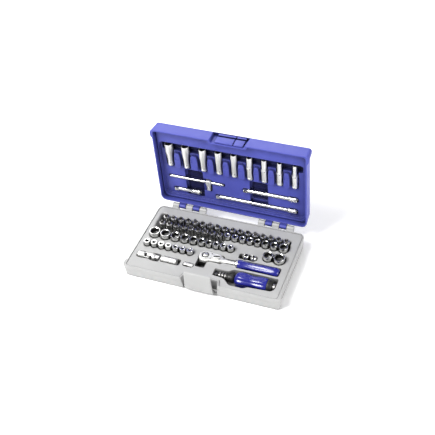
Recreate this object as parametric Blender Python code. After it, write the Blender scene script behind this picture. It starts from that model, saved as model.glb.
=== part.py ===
"""Quarter-inch socket wrench set in a hinged carrying case.

Units in this file are millimetres until MM turns them into metres.
X runs along the hinge, Y from the latch to the hinge, Z up; the origin is the
centre of the base's underside.  The lid is modelled lying closed about its
hinge axis and is then stood open by its parent empty.
"""
import math

import bmesh
import bpy

MM = 0.001

# --- case ----------------------------------------------------------------
CASE_W = 275.0          # side to side
CASE_D = 158.0          # front to back
HALF_H = 27.5           # height of each half
RIM_GAP = 0.4           # air between the closed rims
WALL = 2.4
DRAFT = 1.8             # how far the walls lean in over the height
CORNER_R = 9.0
EAR = 3.0               # the front band stands this far out at each side
EAR_LENGTH = 13.0
TRAY_GAP = 0.4          # air between a shell and its tray
FLOOR = 2.2             # thickness of a shell's floor
FRONT_Y = -CASE_D / 2
BACK_Y = CASE_D / 2
BASE_TOP = HALF_H - RIM_GAP / 2
DECK_Z = 26.5           # top of the base tray

# --- hinge and latch -----------------------------------------------------
HINGE_Y = 86.0
HINGE_Z = HALF_H
LID_OPEN = math.radians(-90.0)
KNUCKLE_R = 4.5
KNUCKLE_W = 12.4
KNUCKLE_PITCH = 13.2
HINGE_GROUP_X = 82.0    # centre of each group of five knuckles
HINGE_PIN_R = 1.5
BORE_GAP = 0.3
RECESS_HALF = 33.0      # latch recess: half width at the rim
RECESS_BACK = -67.0     # and its back wall
RECESS_SLANT = 4.0
LID_RECESS_BACK = -73.5
LATCH_PIVOT_Y = -75.0
LATCH_PIVOT_Z = 6.0
LATCH_HALF_TOP = 19.0
LATCH_HALF_LOW = 25.0
LATCH_TOP = 48.0
LATCH_REST = math.radians(6.0)
TRUNNION_R = 1.7

# --- quarter-inch square drive -------------------------------------------
DRIVE = 6.35
DRIVE_DEPTH = 9.0
DRIVE_BODY_R = 5.6      # least radius that a square drive socket needs
SIDES = 12              # sides of a turned piece
SOCKET_H = 25.0
ROW_FLOOR = 9.3         # floor of the short sockets' slots
SOCKET_Z = 9.6
BIT_FLOOR = 3.9
BIT_Z = 4.2
BIT_H = 32.6
METRIC = (14.0, 13.0, 12.0, 11.0, 10.0, 9.0, 8.0, 7.0, 6.0, 5.5)
INCH = (4.8, 5.6, 6.35, 7.1, 7.9, 8.7, 9.5, 11.1)
LARGE = (12.7, 14.3)
METRIC_START = -116.0
METRIC_Y = 6.5
METRIC_SPACE = 1.9
INCH_START = 11.0
INCH_Y = 32.3
INCH_SPACE = 2.5
LARGE_X = (93.0, 113.0)
SMALL_COUNT = 7
SMALL_START = -119.2
SMALL_PITCH = 13.4
SMALL_Y = -19.9
MIDDLE_BITS = 9
MIDDLE_BITS_START = -113.0
MIDDLE_BITS_Y = 33.0
BACK_BITS = 17
BACK_BITS_START = -112.0
BACK_BITS_PITCH = 14.0
BACK_BITS_Y = 49.6
MIDDLE_BITS_PITCH = 13.6
BIT_R = 5.4
BIT_TIP_R = 3.2
STRIP = 4.0             # width of the strip under a joined row

# --- tools lying in the lid (depth v below the rim, u from the hinge) ------
TOOL_V = 15.0           # axis depth of every lid tool, and the tray's face
LAND_V = 9.0            # the deeper land along the front
LAND_EDGE = -49.0
TRAY_BACK_V = 24.9
DEEP_RADII = (7.24, 6.76, 6.28, 5.8, 5.32, 4.84, 4.36, 3.88, 3.64)    # at the hexagon end
DEEP_WALL = 0.75        # least wall outside the hexagon's corners
DEEP_X = (-115.0, -84.0, -52.0, -23.0, 5.0, 33.0, 59.0, 86.0, 113.0)
DEEP_LENGTH = 50.0
DEEP_DRIVE_Y = 4.0      # drive end of the deep sockets
DEEP_FOOT_R = 5.3       # radius at the drive end
STEPPED_FROM = 5        # the small deep sockets are stepped
TBAR_Y = 29.4
TBAR_X = (-121.0, -17.0)
TBAR_R = 2.6
HEAD_X = -46.0
HEAD_HALF = 4.5
BAR_R = 3.3
BAR_END_R = 4.8
BAR_END = 15.0
BARS = {
    "extension_50": (-114.0, 50.0, 57.4),
    "extension_100": (19.0, 98.0, 31.4),
    "extension_150": (-34.0, 150.0, 58.4),
}

# --- tools lying in the base ---------------------------------------------
RATCHET_X = -10.0
RATCHET_Y = -19.8
HEAD_R = 12.0
HEAD_LOW = 17.0
HEAD_TOP = 29.6
LEVER_X = 9.0
GRIP_X = (48.0, 121.0)
GRIP_Z = 24.0
NECK_R = 4.0
DRIVER_Y = -48.5
DRIVER_Z = 20.5
DRIVER_GRIP = (54.0, 110.0)
DRIVER_END = 123.5
FRONT_ROW_Y = -46.0
FRONT_ROW_Z = 25.0
UJOINT_X = -105.0
HOLDER_X = (56.0, 69.6)
HOLDER_Y = -1.5

COLOURS = {
    "base_plastic": ((0.62, 0.62, 0.60), 0.50, 0.0),
    "lid_plastic": ((0.07, 0.08, 0.52), 0.42, 0.0),
    "chrome": ((0.78, 0.78, 0.79), 0.18, 1.0),
    "bit_steel": ((0.30, 0.30, 0.31), 0.35, 1.0),
    "grip_blue": ((0.05, 0.06, 0.45), 0.38, 0.0),
    "grip_black": ((0.02, 0.02, 0.02), 0.45, 0.0),
}


def clear_scene():
    """Remove every object that the file opened with."""
    for obj in list(bpy.data.objects):
        bpy.data.objects.remove(obj, do_unlink=True)


def material(slot):
    """The Principled material of one finish."""
    found = bpy.data.materials.get(slot)
    if found:
        return found
    colour, roughness, metallic = COLOURS[slot]
    made = bpy.data.materials.new(slot)
    made.use_nodes = True
    shader = made.node_tree.nodes["Principled BSDF"]
    shader.inputs["Base Color"].default_value = (*colour, 1.0)
    shader.inputs["Roughness"].default_value = roughness
    shader.inputs["Metallic"].default_value = metallic
    return made


# --- mesh helpers ----------------------------------------------------------
def stack(rings, closed=False):
    """A solid through rings of equal count, capped, or closed on itself."""
    bm = bmesh.new()
    loops = [[bm.verts.new((x * MM, y * MM, z * MM)) for x, y, z in ring] for ring in rings]
    count = len(loops[0])
    pairs = list(zip(loops, loops[1:]))
    if closed:
        pairs.append((loops[-1], loops[0]))
    for low, high in pairs:
        for i in range(count):
            j = (i + 1) % count
            bm.faces.new((low[i], low[j], high[j], high[i]))
    if not closed:
        bm.faces.new(loops[0][::-1])
        bm.faces.new(loops[-1])
    if bm.calc_volume(signed=True) < 0.0:
        bmesh.ops.reverse_faces(bm, faces=bm.faces)
    return bm


def ring(radius, z, sides=SIDES):
    """A round ring at height z."""
    return polygon_ring(0, 2 * radius, z, sides)


def polygon_ring(corners, across, z, sides=SIDES):
    """A regular polygon ring, across flats, sampled at an even angle; 0 corners is a circle."""
    points = []
    for i in range(sides):
        angle = 2 * math.pi * i / sides
        radius = across / 2
        if corners:
            step = 2 * math.pi / corners
            radius /= math.cos(angle % step - step / 2)
        turned = angle + math.pi / 4
        points.append((radius * math.cos(turned), radius * math.sin(turned), z))
    return points


def fillet(corners, steps=3):
    """A closed outline with every (x, y, radius) corner rounded by an arc."""
    points = []
    for i, (x, y, radius) in enumerate(corners):
        before = corners[i - 1]
        after = corners[(i + 1) % len(corners)]
        to_before = math.atan2(before[1] - y, before[0] - x)
        to_after = math.atan2(after[1] - y, after[0] - x)
        half = abs((to_after - to_before + math.pi) % (2 * math.pi) - math.pi) / 2
        reach = radius / math.tan(half)
        start = (x + reach * math.cos(to_before), y + reach * math.sin(to_before))
        end = (x + reach * math.cos(to_after), y + reach * math.sin(to_after))
        for k in range(steps + 1):
            t = k / steps
            a = (1 - t) ** 2
            b = 2 * t * (1 - t)
            c = t ** 2
            points.append((a * start[0] + b * x + c * end[0], a * start[1] + b * y + c * end[1]))
    return points


def loft(low, z_low, high, z_high):
    """A solid between two flat outlines."""
    return stack([[(x, y, z_low) for x, y in low], [(x, y, z_high) for x, y in high]])


def box(x0, x1, y0, y1, z0, z1):
    """A plain block."""
    outline = [(x0, y0), (x1, y0), (x1, y1), (x0, y1)]
    return loft(outline, z0, outline, z1)


def prism(outline, z0, z1):
    """An upright block with the given plan."""
    return loft(outline, z0, outline, z1)


def along_x(profile, x0, x1):
    """A (y, z) profile run from x0 to x1."""
    return stack([[(x0, y, z) for y, z in profile], [(x1, y, z) for y, z in profile]])


def turned_x(sections, y, z, sides=SIDES):
    """A piece turned about an X axis, from (x, radius) sections."""
    rings = []
    for x, radius in sections:
        ring_points = []
        for i in range(sides):
            angle = 2 * math.pi * i / sides
            ring_points.append((x, y + radius * math.cos(angle), z + radius * math.sin(angle)))
        rings.append(ring_points)
    return stack(rings)


def disc(x, y, radius, z0, z1, sides=SIDES * 2):
    """An upright round block."""
    rings = [[(x + px, y + py, z) for px, py, z in ring(radius, height, sides)] for height in (z0, z1)]
    return stack(rings)


def rod_x(x0, x1, y, z, radius, sides=SIDES):
    """A round rod along X."""
    return turned_x([(x0, radius), (x1, radius)], y, z, sides)


def arc(y, z, radius, start, end, steps=8):
    """Points of an arc in the YZ plane, in degrees."""
    points = []
    for i in range(steps + 1):
        angle = math.radians(start + (end - start) * i / steps)
        points.append((y + radius * math.cos(angle), z + radius * math.sin(angle)))
    return points


def make(name, bm, slot):
    """Turn a bmesh into a named object with its own material."""
    mesh = bpy.data.meshes.new(name)
    bm.to_mesh(mesh)
    bm.free()
    obj = bpy.data.objects.new(name, mesh)
    obj.data.materials.append(material(slot))
    bpy.context.scene.collection.objects.link(obj)
    return obj


def combine(obj, shapes, operation):
    """Union or cut obj with each bmesh in turn."""
    for shape in shapes:
        tool = make("tool", shape, "bit_steel")
        modifier = obj.modifiers.new("boolean", "BOOLEAN")
        modifier.operation = operation
        modifier.solver = "EXACT"
        modifier.object = tool
        evaluated = obj.evaluated_get(bpy.context.evaluated_depsgraph_get())
        mesh = bpy.data.meshes.new_from_object(evaluated)
        obj.modifiers.clear()
        obj.data = mesh
        bpy.data.objects.remove(tool, do_unlink=True)
    return obj


def cut(obj, *shapes):
    """Cut each shape out of obj."""
    return combine(obj, shapes, "DIFFERENCE")


def join(obj, *shapes):
    """Join each shape to obj."""
    return combine(obj, shapes, "UNION")


def smooth(obj):
    """Shade round pieces smooth up to 35 degrees."""
    obj.data.shade_smooth()
    obj.data.set_sharp_from_angle(angle=math.radians(35.0))


def empty(name, location, rotation_x=0.0):
    """A parent empty on a joint axis or at a seat."""
    obj = bpy.data.objects.new(name, None)
    obj.location = [value * MM for value in location]
    obj.rotation_euler = (rotation_x, 0.0, 0.0)
    bpy.context.scene.collection.objects.link(obj)
    return obj


def place(obj, location, rotation=(0.0, 0.0, 0.0), parent=None):
    """Put an object at its seat."""
    obj.location = [value * MM for value in location]
    obj.rotation_euler = rotation
    obj.parent = parent
    return obj


# --- case ------------------------------------------------------------------
def outer_outline(inset):
    """Plan of either half of the case, with the wider band at the front."""
    side = CASE_W / 2 - inset
    front = FRONT_Y + inset
    back = BACK_Y - inset
    ear = side + EAR
    step = front + EAR_LENGTH
    return fillet([
        (-ear, front, CORNER_R), (ear, front, CORNER_R), (ear, step, 2.0), (side, step + 4.0, 2.0),
        (side, back, CORNER_R), (-side, back, CORNER_R), (-side, step + 4.0, 2.0), (-ear, step, 2.0),
    ])


def inner_outline(inset, recess_back):
    """Plan of the room inside a shell, stepping round the latch recess."""
    side = CASE_W / 2 - inset
    front = FRONT_Y + inset
    back = BACK_Y - inset
    notch = RECESS_HALF + inset
    notch_back = recess_back + inset
    narrow = notch - RECESS_SLANT * (recess_back - FRONT_Y) / 12.0
    radius = CORNER_R - 2.0
    return fillet([
        (-side, front, radius), (-notch, front, 1.0), (-narrow, notch_back, 1.0), (narrow, notch_back, 1.0),
        (notch, front, 1.0), (side, front, radius), (side, back, radius), (-side, back, radius),
    ])


def recess_outline(recess_back, narrower):
    """Plan of the latch recess, open to the front."""
    wide = RECESS_HALF - narrower
    narrow = wide - RECESS_SLANT * (recess_back - FRONT_Y) / 12.0
    lip = FRONT_Y - 6.0
    return [(-wide - 2.0, lip), (wide + 2.0, lip), (narrow, recess_back), (-narrow, recess_back)]


def knuckle_centres(group, odd):
    """Centres of the base's knuckles, or of the lid's that sit between them."""
    slots = (-1, 1) if odd else (-2, 0, 2)
    return [group + slot * KNUCKLE_PITCH for slot in slots]


def base_shell():
    """Outer shell of the base, with its knuckles and latch recess."""
    shell = make("base_shell", loft(outer_outline(DRAFT), 0.0, outer_outline(0.0), BASE_TOP), "base_plastic")
    cut(shell, loft(recess_outline(RECESS_BACK, 5.0), -1.0, recess_outline(RECESS_BACK, 0.0), HALF_H + 1.0))
    low = inner_outline(WALL + DRAFT, RECESS_BACK)
    cut(shell, loft(low, FLOOR, inner_outline(WALL, RECESS_BACK), HALF_H + 0.5))
    profile = [(77.8, 16.0)] + arc(HINGE_Y, HINGE_Z, KNUCKLE_R, -70.0, 180.0) + [(77.8, 27.0)]
    for group in (-HINGE_GROUP_X, HINGE_GROUP_X):
        for x in knuckle_centres(group, odd=False):
            join(shell, along_x(profile, x - KNUCKLE_W / 2, x + KNUCKLE_W / 2))
        cut(shell, rod_x(group - 40.0, group + 40.0, HINGE_Y, HINGE_Z, HINGE_PIN_R + BORE_GAP))
    cut(shell, rod_x(-31.0, 31.0, LATCH_PIVOT_Y, LATCH_PIVOT_Z, TRUNNION_R + BORE_GAP))
    return shell


def slot_x(x0, x1, y, half, floor):
    """A straight slot in the tray from above."""
    return box(x0, x1, y - half, y + half, floor, DECK_Z + 5.0)


def base_tray():
    """Moulded tray that seats the tools of the base."""
    inset = WALL + TRAY_GAP
    low = inner_outline(inset + DRAFT, RECESS_BACK)
    block = loft(low, FLOOR + TRAY_GAP, inner_outline(inset, RECESS_BACK), DECK_Z)
    tray = make("base_tray", block, "base_plastic")
    left = -130.5
    cut(
        tray,
        slot_x(left, -32.0, SMALL_Y, 7.0, ROW_FLOOR),
        slot_x(left, 36.0, METRIC_Y, 10.3, ROW_FLOOR),
        slot_x(LARGE_X[0] - 10.5, LARGE_X[1] + 11.0, METRIC_Y, 10.5, ROW_FLOOR),
        slot_x(3.0, 123.0, INCH_Y, 8.5, ROW_FLOOR),
        slot_x(left, 3.5, MIDDLE_BITS_Y, 6.5, BIT_FLOOR),
        slot_x(left, 120.5, BACK_BITS_Y, 6.3, BIT_FLOOR),
        box(left, -121.5, METRIC_Y, 64.0, ROW_FLOOR, DECK_Z + 5.0),
        slot_x(HOLDER_X[0] - 7.0, HOLDER_X[1] + 7.5, HOLDER_Y, 6.8, ROW_FLOOR),
    )
    cut(tray, *ratchet_pocket(), *driver_pocket(), *front_pockets())
    cut(
        tray,
        box(-128.0, -40.0, -73.0, -59.0, 0.0, DECK_Z - WALL),
        box(-116.0, 126.0, 58.5, 73.5, 0.0, DECK_Z - WALL),
        box(84.0, 128.0, -72.5, -67.5, 0.0, DECK_Z - WALL),
    )
    return tray


def ratchet_pocket():
    """Cutters for the ratchet's seat."""
    top = DECK_Z + 5.0
    return (
        disc(RATCHET_X, RATCHET_Y, HEAD_R + 1.0, 7.5, top),
        box(RATCHET_X, 22.0, RATCHET_Y - 9.5, RATCHET_Y + 9.5, 15.0, top),
        slot_x(21.0, GRIP_X[0], RATCHET_Y, NECK_R + 1.5, 17.0),
        slot_x(GRIP_X[0] - 1.5, GRIP_X[1] + 1.5, RATCHET_Y, 10.0, 14.0),
    )


def driver_pocket():
    """Cutters for the spinner handle's seat and the finger hole beside the ratchet."""
    top = DECK_Z + 5.0
    seat = [(15.0, -56.0), (36.0, -58.0), (50.0, -70.0), (74.0, -70.0), (81.0, -64.5), (125.0, -63.0),
            (125.0, -33.5), (47.0, -33.5), (40.0, -40.0), (15.0, -40.0)]
    hole = [(-25.0, -45.0), (-5.0, -45.0), (-7.0, -30.0), (-25.0, -30.0)]
    return prism(seat, 6.0, top), prism(hole, 5.0, top)


def front_pockets():
    """Cutters for the small pieces along the front."""
    return (
        slot_x(-126.8, -107.0, FRONT_ROW_Y, 7.0, 18.0),
        slot_x(-112.0, -84.8, FRONT_ROW_Y, 12.0, 18.0),
        slot_x(-82.0, -47.0, FRONT_ROW_Y, 7.3, 18.0),
        slot_x(-41.0, -22.5, FRONT_ROW_Y, 4.6, 20.5),
    )


def lid_shell():
    """Outer shell of the lid, modelled closed about the hinge axis: y is u, z is v."""
    def moved(outline):
        return [(x, y - HINGE_Y) for x, y in outline]

    rim = RIM_GAP / 2
    block = loft(moved(outer_outline(0.0)), rim, moved(outer_outline(DRAFT)), HALF_H)
    shell = make("lid_shell", block, "lid_plastic")
    recess = moved(recess_outline(LID_RECESS_BACK, 2.0))
    cut(shell, loft(recess, -1.0, recess, 13.4), loft(recess, 17.2, recess, HALF_H - FLOOR))
    shallow = moved(recess_outline(LID_RECESS_BACK - 3.3, 2.0))
    cut(shell, loft(shallow, 13.0, shallow, 17.6))
    cut(shell, loft(moved(inner_outline(WALL, LID_RECESS_BACK)), -1.0,
                    moved(inner_outline(WALL + DRAFT, LID_RECESS_BACK)), HALF_H - FLOOR))
    profile = [(-8.2, rim)] + arc(0.0, 0.0, KNUCKLE_R, 180.0, 430.0) + [(-8.2, 11.0)]
    for group in (-HINGE_GROUP_X, HINGE_GROUP_X):
        for x in knuckle_centres(group, odd=True):
            join(shell, along_x(profile, x - KNUCKLE_W / 2, x + KNUCKLE_W / 2))
        cut(shell, rod_x(group - 40.0, group + 40.0, 0.0, 0.0, HINGE_PIN_R + BORE_GAP))
    return shell


def lid_box(x0, x1, y0, y1, v0, v1):
    """A block in the lid, with y as it lies when closed."""
    return box(x0, x1, y0 - HINGE_Y, y1 - HINGE_Y, v0, v1)


def lid_tray():
    """Moulded tray of the lid, with its land, humps, grooves and finger pockets."""
    def plan(inset):
        return [(x, y - HINGE_Y) for x, y in inner_outline(inset, LID_RECESS_BACK)]

    inset = WALL + TRAY_GAP
    near = inset + DRAFT * LAND_V / HALF_H
    far = inset + DRAFT
    tray = make("lid_tray", loft(plan(near), LAND_V, plan(far), TRAY_BACK_V), "lid_plastic")
    humps = [(a + b) / 2 for a, b in zip(DEEP_X, DEEP_X[1:])]
    gaps = [-140.0] + [edge for x in humps for edge in (x - 6.5, x + 6.5)] + [140.0]
    cut(tray, lid_box(-140.0, 140.0, 4.0, 90.0, 0.0, TOOL_V))
    cut(tray, lid_box(-140.0, 140.0, LAND_EDGE, -32.0, 0.0, TOOL_V))
    for x0, x1 in zip(gaps[::2], gaps[1::2]):
        cut(tray, lid_box(x0, x1, -33.0, 5.0, 0.0, TOOL_V))
    cut(tray, lid_box(-127.0, 127.0, LAND_EDGE, -31.0, 0.0, 23.0))
    for x, radius in zip(DEEP_X, DEEP_RADII):
        half = max(radius, DEEP_FOOT_R) + 0.8
        cut(tray, lid_box(x - half, x + half, -40.0, DEEP_DRIVE_Y + 1.0, 0.0, TOOL_V + half))
    cut(
        tray,
        lid_box(TBAR_X[0] - 1.0, TBAR_X[1] + 1.0, TBAR_Y - 3.2, TBAR_Y + 3.2, 0.0, TOOL_V + 3.2),
        lid_box(-60.0, HEAD_X + HEAD_HALF + 1.0, TBAR_Y - 6.5, TBAR_Y + 19.5, 0.0, TOOL_V + 5.2),
        lid_box(-90.0, -56.0, 8.0, 66.0, 0.0, 23.0),
        lid_box(31.0, 64.0, 8.0, 52.0, 0.0, 23.0),
    )
    for x, length, y in BARS.values():
        end = x + length
        cut(
            tray,
            lid_box(x - 1.0, end + 1.0, y - 3.9, y + 3.9, 0.0, TOOL_V + 3.9),
            lid_box(end - BAR_END - 1.5, end + 1.0, y - 5.4, y + 5.4, 0.0, TOOL_V + 5.4),
        )
    return tray


def hinge_pin(name, group):
    """Steel pin through one group of knuckles."""
    half = 2.5 * KNUCKLE_PITCH
    return make(name, rod_x(group - half, group + half, HINGE_Y, HINGE_Z, HINGE_PIN_R), "bit_steel")


def latch():
    """Pull latch with a hook at the top, pivoting on moulded trunnions at its foot."""
    profile = [(-81.6, 7.0), (-82.3, 14.0), (-81.0, 30.0), (-79.6, 44.0), (-78.4, 47.4), (-74.8, LATCH_TOP),
               (-74.4, 45.4), (-77.0, 44.9), (-77.8, 30.0), (-78.6, 14.0), (-75.5, 9.6), (-72.4, 8.0),
               (-71.8, 4.4), (-75.0, 2.0), (-78.4, 2.7)]
    rings = []
    for side in (-1, 1):
        rings.append([
            (side * (LATCH_HALF_LOW + (LATCH_HALF_TOP - LATCH_HALF_LOW) * z / LATCH_TOP),
             y - LATCH_PIVOT_Y, z - LATCH_PIVOT_Z)
            for y, z in profile
        ])
    panel = make("latch", stack(rings), "base_plastic")
    return join(panel, rod_x(-29.0, 29.0, 0.0, 0.0, TRUNNION_R))


# --- sockets and bars --------------------------------------------------------
def socket_radius(size):
    """Outer radius of a socket of a given size across flats."""
    return max(DRIVE_BODY_R, size * 0.635 + 0.6)


def deep_size(radius):
    """Size across flats of the hexagon that fits a deep socket of a given radius."""
    return (radius - DEEP_WALL) * math.sqrt(3.0)


def socket_mesh(size, length, profile):
    """A socket open from end to end: square drive below, hexagon above."""
    hex_floor = length * 0.45
    rings = [polygon_ring(4, DRIVE, 0.0)]
    rings += [ring(radius, z) for z, radius in profile]
    rings += [
        polygon_ring(6, size, length),
        polygon_ring(6, size, hex_floor),
        polygon_ring(4, min(DRIVE, size * 0.8), hex_floor - 2.0),
    ]
    return stack(rings, closed=True)


def short_socket(name, size):
    """Short socket, standing on its square drive end."""
    radius = socket_radius(size)
    profile = [(0.0, DRIVE_BODY_R), (11.0, DRIVE_BODY_R), (13.5, radius), (SOCKET_H, radius)]
    obj = make(name, socket_mesh(size, SOCKET_H, profile), "chrome")
    smooth(obj)
    return obj


def deep_socket(name, radius, stepped):
    """Deep socket; the small ones are stepped down to a slim nose."""
    if stepped:
        profile = [(0.0, DEEP_FOOT_R), (25.0, DEEP_FOOT_R), (28.0, radius), (DEEP_LENGTH, radius)]
    else:
        profile = [(0.0, DEEP_FOOT_R), (14.0, DEEP_FOOT_R), (32.0, radius), (DEEP_LENGTH, radius)]
    obj = make(name, socket_mesh(deep_size(radius), DEEP_LENGTH, profile), "chrome")
    smooth(obj)
    return obj


def extension(name, length):
    """Extension bar: male square at the foot, female square at the head."""
    solid_end = length - DRIVE_DEPTH
    rings = [
        polygon_ring(4, DRIVE - 0.4, 0.0), polygon_ring(4, DRIVE - 0.2, 0.6), polygon_ring(4, DRIVE - 0.2, 8.0),
        ring(BAR_R, 8.8), ring(BAR_R, length - BAR_END - 1.5), ring(BAR_END_R, length - BAR_END),
        ring(BAR_END_R, length - 0.5), ring(BAR_END_R - 0.3, length), polygon_ring(4, DRIVE, length),
        polygon_ring(4, DRIVE, solid_end),
    ]
    obj = make(name, stack(rings), "chrome")
    smooth(obj)
    return obj


def joined_row(name, count, pitch, sections, slot, sides):
    """A row of equal pieces held by a thin strip at the foot, as one solid."""
    row = make(name, box(-1.0, (count - 1) * pitch + 1.0, -STRIP / 2, STRIP / 2, 0.0, 1.0), slot)
    for i in range(count):
        rings = [[(x + i * pitch, y, z) for x, y, z in polygon_ring(*section, sides)] for section in sections]
        join(row, stack(rings))
    smooth(row)
    return row


def bit_row(name, count, pitch):
    """Row of screwdriver bit sockets, tips up."""
    sections = [(0, 2 * BIT_R, 0.2), (0, 2 * BIT_R, 22.0), (0, 2 * BIT_TIP_R, 24.5), (0, 2 * BIT_TIP_R, BIT_H)]
    return joined_row(name, count, pitch, sections, "bit_steel", 8)


def small_row():
    """Row of the smallest short sockets, with blind hexagon mouths."""
    sections = [(0, 2 * DRIVE_BODY_R, 0.2), (0, 2 * DRIVE_BODY_R, SOCKET_H), (6, 4.5, SOCKET_H), (6, 4.5, 15.0)]
    return joined_row("small_socket_row", SMALL_COUNT, SMALL_PITCH, sections, "chrome", SIDES)


def bit_holder(name):
    """Short round adapter with a domed collar."""
    rings = [ring(4.6, 0.0), ring(5.0, 0.5), ring(5.0, 12.0), ring(6.0, 13.5), ring(6.0, 18.0), ring(4.6, 21.0),
             ring(3.4, 22.0), polygon_ring(4, 4.0, 22.0), polygon_ring(4, 4.0, 14.0)]
    obj = make(name, stack(rings), "chrome")
    smooth(obj)
    return obj


def tbar_rod():
    """Sliding T-bar's cross rod."""
    obj = make("tbar_rod", rod_x(TBAR_X[0], TBAR_X[1], 0.0, 0.0, TBAR_R), "chrome")
    smooth(obj)
    return obj


def tbar_head():
    """Block that slides on the rod, with its square drive."""
    half = DRIVE / 2
    head = make("tbar_head", box(-HEAD_HALF, HEAD_HALF, -5.0, 6.0, -4.0, 4.0), "chrome")
    join(head, box(-half, half, 5.0, 17.5, -half, half))
    return cut(head, rod_x(-9.0, 9.0, 0.0, 0.0, TBAR_R + BORE_GAP))


# --- ratchet, modelled where it lies ------------------------------------------
def ratchet_body():
    """Head, lever housing and neck of the ratchet."""
    outline = fillet([(RATCHET_X - 2.0, -8.6, 1.0), (LEVER_X + 8.0, -7.0, 3.0), (LEVER_X + 13.0, -3.5, 1.0),
                      (LEVER_X + 13.0, 3.5, 1.0), (LEVER_X + 8.0, 7.0, 3.0), (RATCHET_X - 2.0, 8.6, 1.0)])
    outline = [(x, y + RATCHET_Y) for x, y in outline]
    body = make("ratchet_body", disc(RATCHET_X, RATCHET_Y, HEAD_R, HEAD_LOW, HEAD_TOP), "chrome")
    join(body, prism(outline, HEAD_LOW + 1.5, HEAD_TOP - 0.4), rod_x(18.0, 78.0, RATCHET_Y, GRIP_Z, NECK_R))
    cut(
        body,
        disc(RATCHET_X, RATCHET_Y, 8.3, HEAD_LOW - 1.0, 25.8),
        disc(RATCHET_X, RATCHET_Y, 4.9, 26.8, HEAD_TOP + 1.0),
        disc(LEVER_X, RATCHET_Y, 2.6, 26.0, HEAD_TOP + 1.0),
    )
    smooth(body)
    return body


def ratchet_cover():
    """Thin plate over the head, open round the button and the lever's stem."""
    outline = [(x, y + RATCHET_Y) for x, y in fillet([
        (RATCHET_X - 9.0, -9.0, 7.5), (LEVER_X + 6.5, -6.6, 4.0),
        (LEVER_X + 6.5, 6.6, 4.0), (RATCHET_X - 9.0, 9.0, 7.5),
    ])]
    plate = make("ratchet_cover", prism(outline, HEAD_TOP + 0.3, HEAD_TOP + 1.5), "chrome")
    return cut(plate, disc(RATCHET_X, RATCHET_Y, 4.9, 20.0, 40.0), disc(LEVER_X, RATCHET_Y, 2.6, 20.0, 40.0))


def ratchet_button():
    """Quick-release button in the middle of the head."""
    rings = [ring(4.6, 0.0, 24), ring(4.6, 3.2, 24), ring(3.6, 3.9, 24)]
    obj = make("ratchet_button", stack(rings), "chrome")
    smooth(obj)
    return obj


def ratchet_lever():
    """Reversing lever: a stem with a thumb piece."""
    lever = make("ratchet_lever", disc(0.0, 0.0, 2.3, -4.6, 1.0), "chrome")
    outline = fillet([(-4.6, -4.6, 3.0), (4.6, -4.6, 3.0), (8.5, 0.0, 2.0), (4.6, 4.6, 3.0), (-4.6, 4.6, 3.0)])
    return join(lever, prism(outline, 0.0, 2.4))


def ratchet_drive():
    """Drive gear and its square, turning in the head."""
    teeth = 16
    rings = []
    for z in (0.0, 8.0):
        points = []
        for i in range(2 * teeth):
            radius = 8.0 if i % 2 else 7.2
            angle = math.pi * i / teeth
            points.append((radius * math.cos(angle), radius * math.sin(angle), z))
        rings.append(points)
    drive = make("ratchet_drive", stack(rings), "bit_steel")
    half = DRIVE / 2
    return join(drive, box(-half, half, -half, half, -8.6, 1.0))


def ratchet_grip():
    """Moulded grip on the ratchet's tang."""
    sections = [(GRIP_X[0], 8.2), (GRIP_X[0] + 3.0, 9.2), (70.0, 7.6), (100.0, 8.6), (115.0, 8.8), (119.5, 7.6),
                (GRIP_X[1], 5.0)]
    grip = make("ratchet_grip", turned_x(sections, RATCHET_Y, GRIP_Z, 16), "grip_blue")
    cut(grip, rod_x(40.0, 79.0, RATCHET_Y, GRIP_Z, NECK_R + BORE_GAP))
    smooth(grip)
    return grip


# --- spinner handle ------------------------------------------------------------
def driver_shaft():
    """Black shank of the spinner handle, with its square drive."""
    half = DRIVE / 2
    shaft = make("driver_shaft", turned_x([(24.0, 6.0), (40.0, 6.0), (43.0, 7.4), (50.0, 7.4), (53.0, 5.0),
                                           (80.0, 5.0)], DRIVER_Y, DRIVER_Z, 16), "grip_black")
    join(shaft, box(16.5, 25.0, DRIVER_Y - half, DRIVER_Y + half, DRIVER_Z - half, DRIVER_Z + half))
    smooth(shaft)
    return shaft


def driver_grip():
    """Thick grip of the spinner handle."""
    sections = [(DRIVER_GRIP[0], 9.0), (58.0, 13.0), (68.0, 13.8), (84.0, 11.6), (98.0, 13.2), (DRIVER_GRIP[1], 12.4)]
    grip = make("driver_grip", turned_x(sections, DRIVER_Y, DRIVER_Z, 16), "grip_blue")
    cut(grip, rod_x(50.0, 81.0, DRIVER_Y, DRIVER_Z, 5.0 + BORE_GAP))
    smooth(grip)
    return grip


def driver_end():
    """Black end of the spinner handle."""
    sections = [(DRIVER_GRIP[1] + 0.3, 12.2), (117.5, 10.5), (119.0, 7.0), (DRIVER_END, 6.2)]
    end = make("driver_end", turned_x(sections, DRIVER_Y, DRIVER_Z, 16), "grip_black")
    smooth(end)
    return end


# --- universal joint, coupler and small adapter ---------------------------------
def yoke(name, ears_upright, mirrored, reach):
    """One yoke of the universal joint, centred on the cross, pointing along X."""
    sign = 1.0 if mirrored else -1.0
    near, far = sorted((sign * 7.0, sign * reach))
    body = make(name, rod_x(near, far, 0.0, 0.0, 5.9), "chrome")
    inner, outer = sorted((-sign * 3.0, sign * 7.5))
    for side in (-1, 1):
        low, high = sorted((side * 4.1, side * 5.6))
        if ears_upright:
            join(body, box(inner, outer, -2.6, 2.6, low, high))
        else:
            join(body, box(inner, outer, low, high, -2.6, 2.6))
    return body


def ujoint_socket():
    """Yoke with the square socket."""
    body = yoke("ujoint_socket", True, False, 19.5)
    half = DRIVE / 2
    cut(body, box(-21.0, -11.0, -half, half, -half, half), disc(0.0, 0.0, 1.3 + BORE_GAP, -9.0, 9.0, SIDES))
    smooth(body)
    return body


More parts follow.
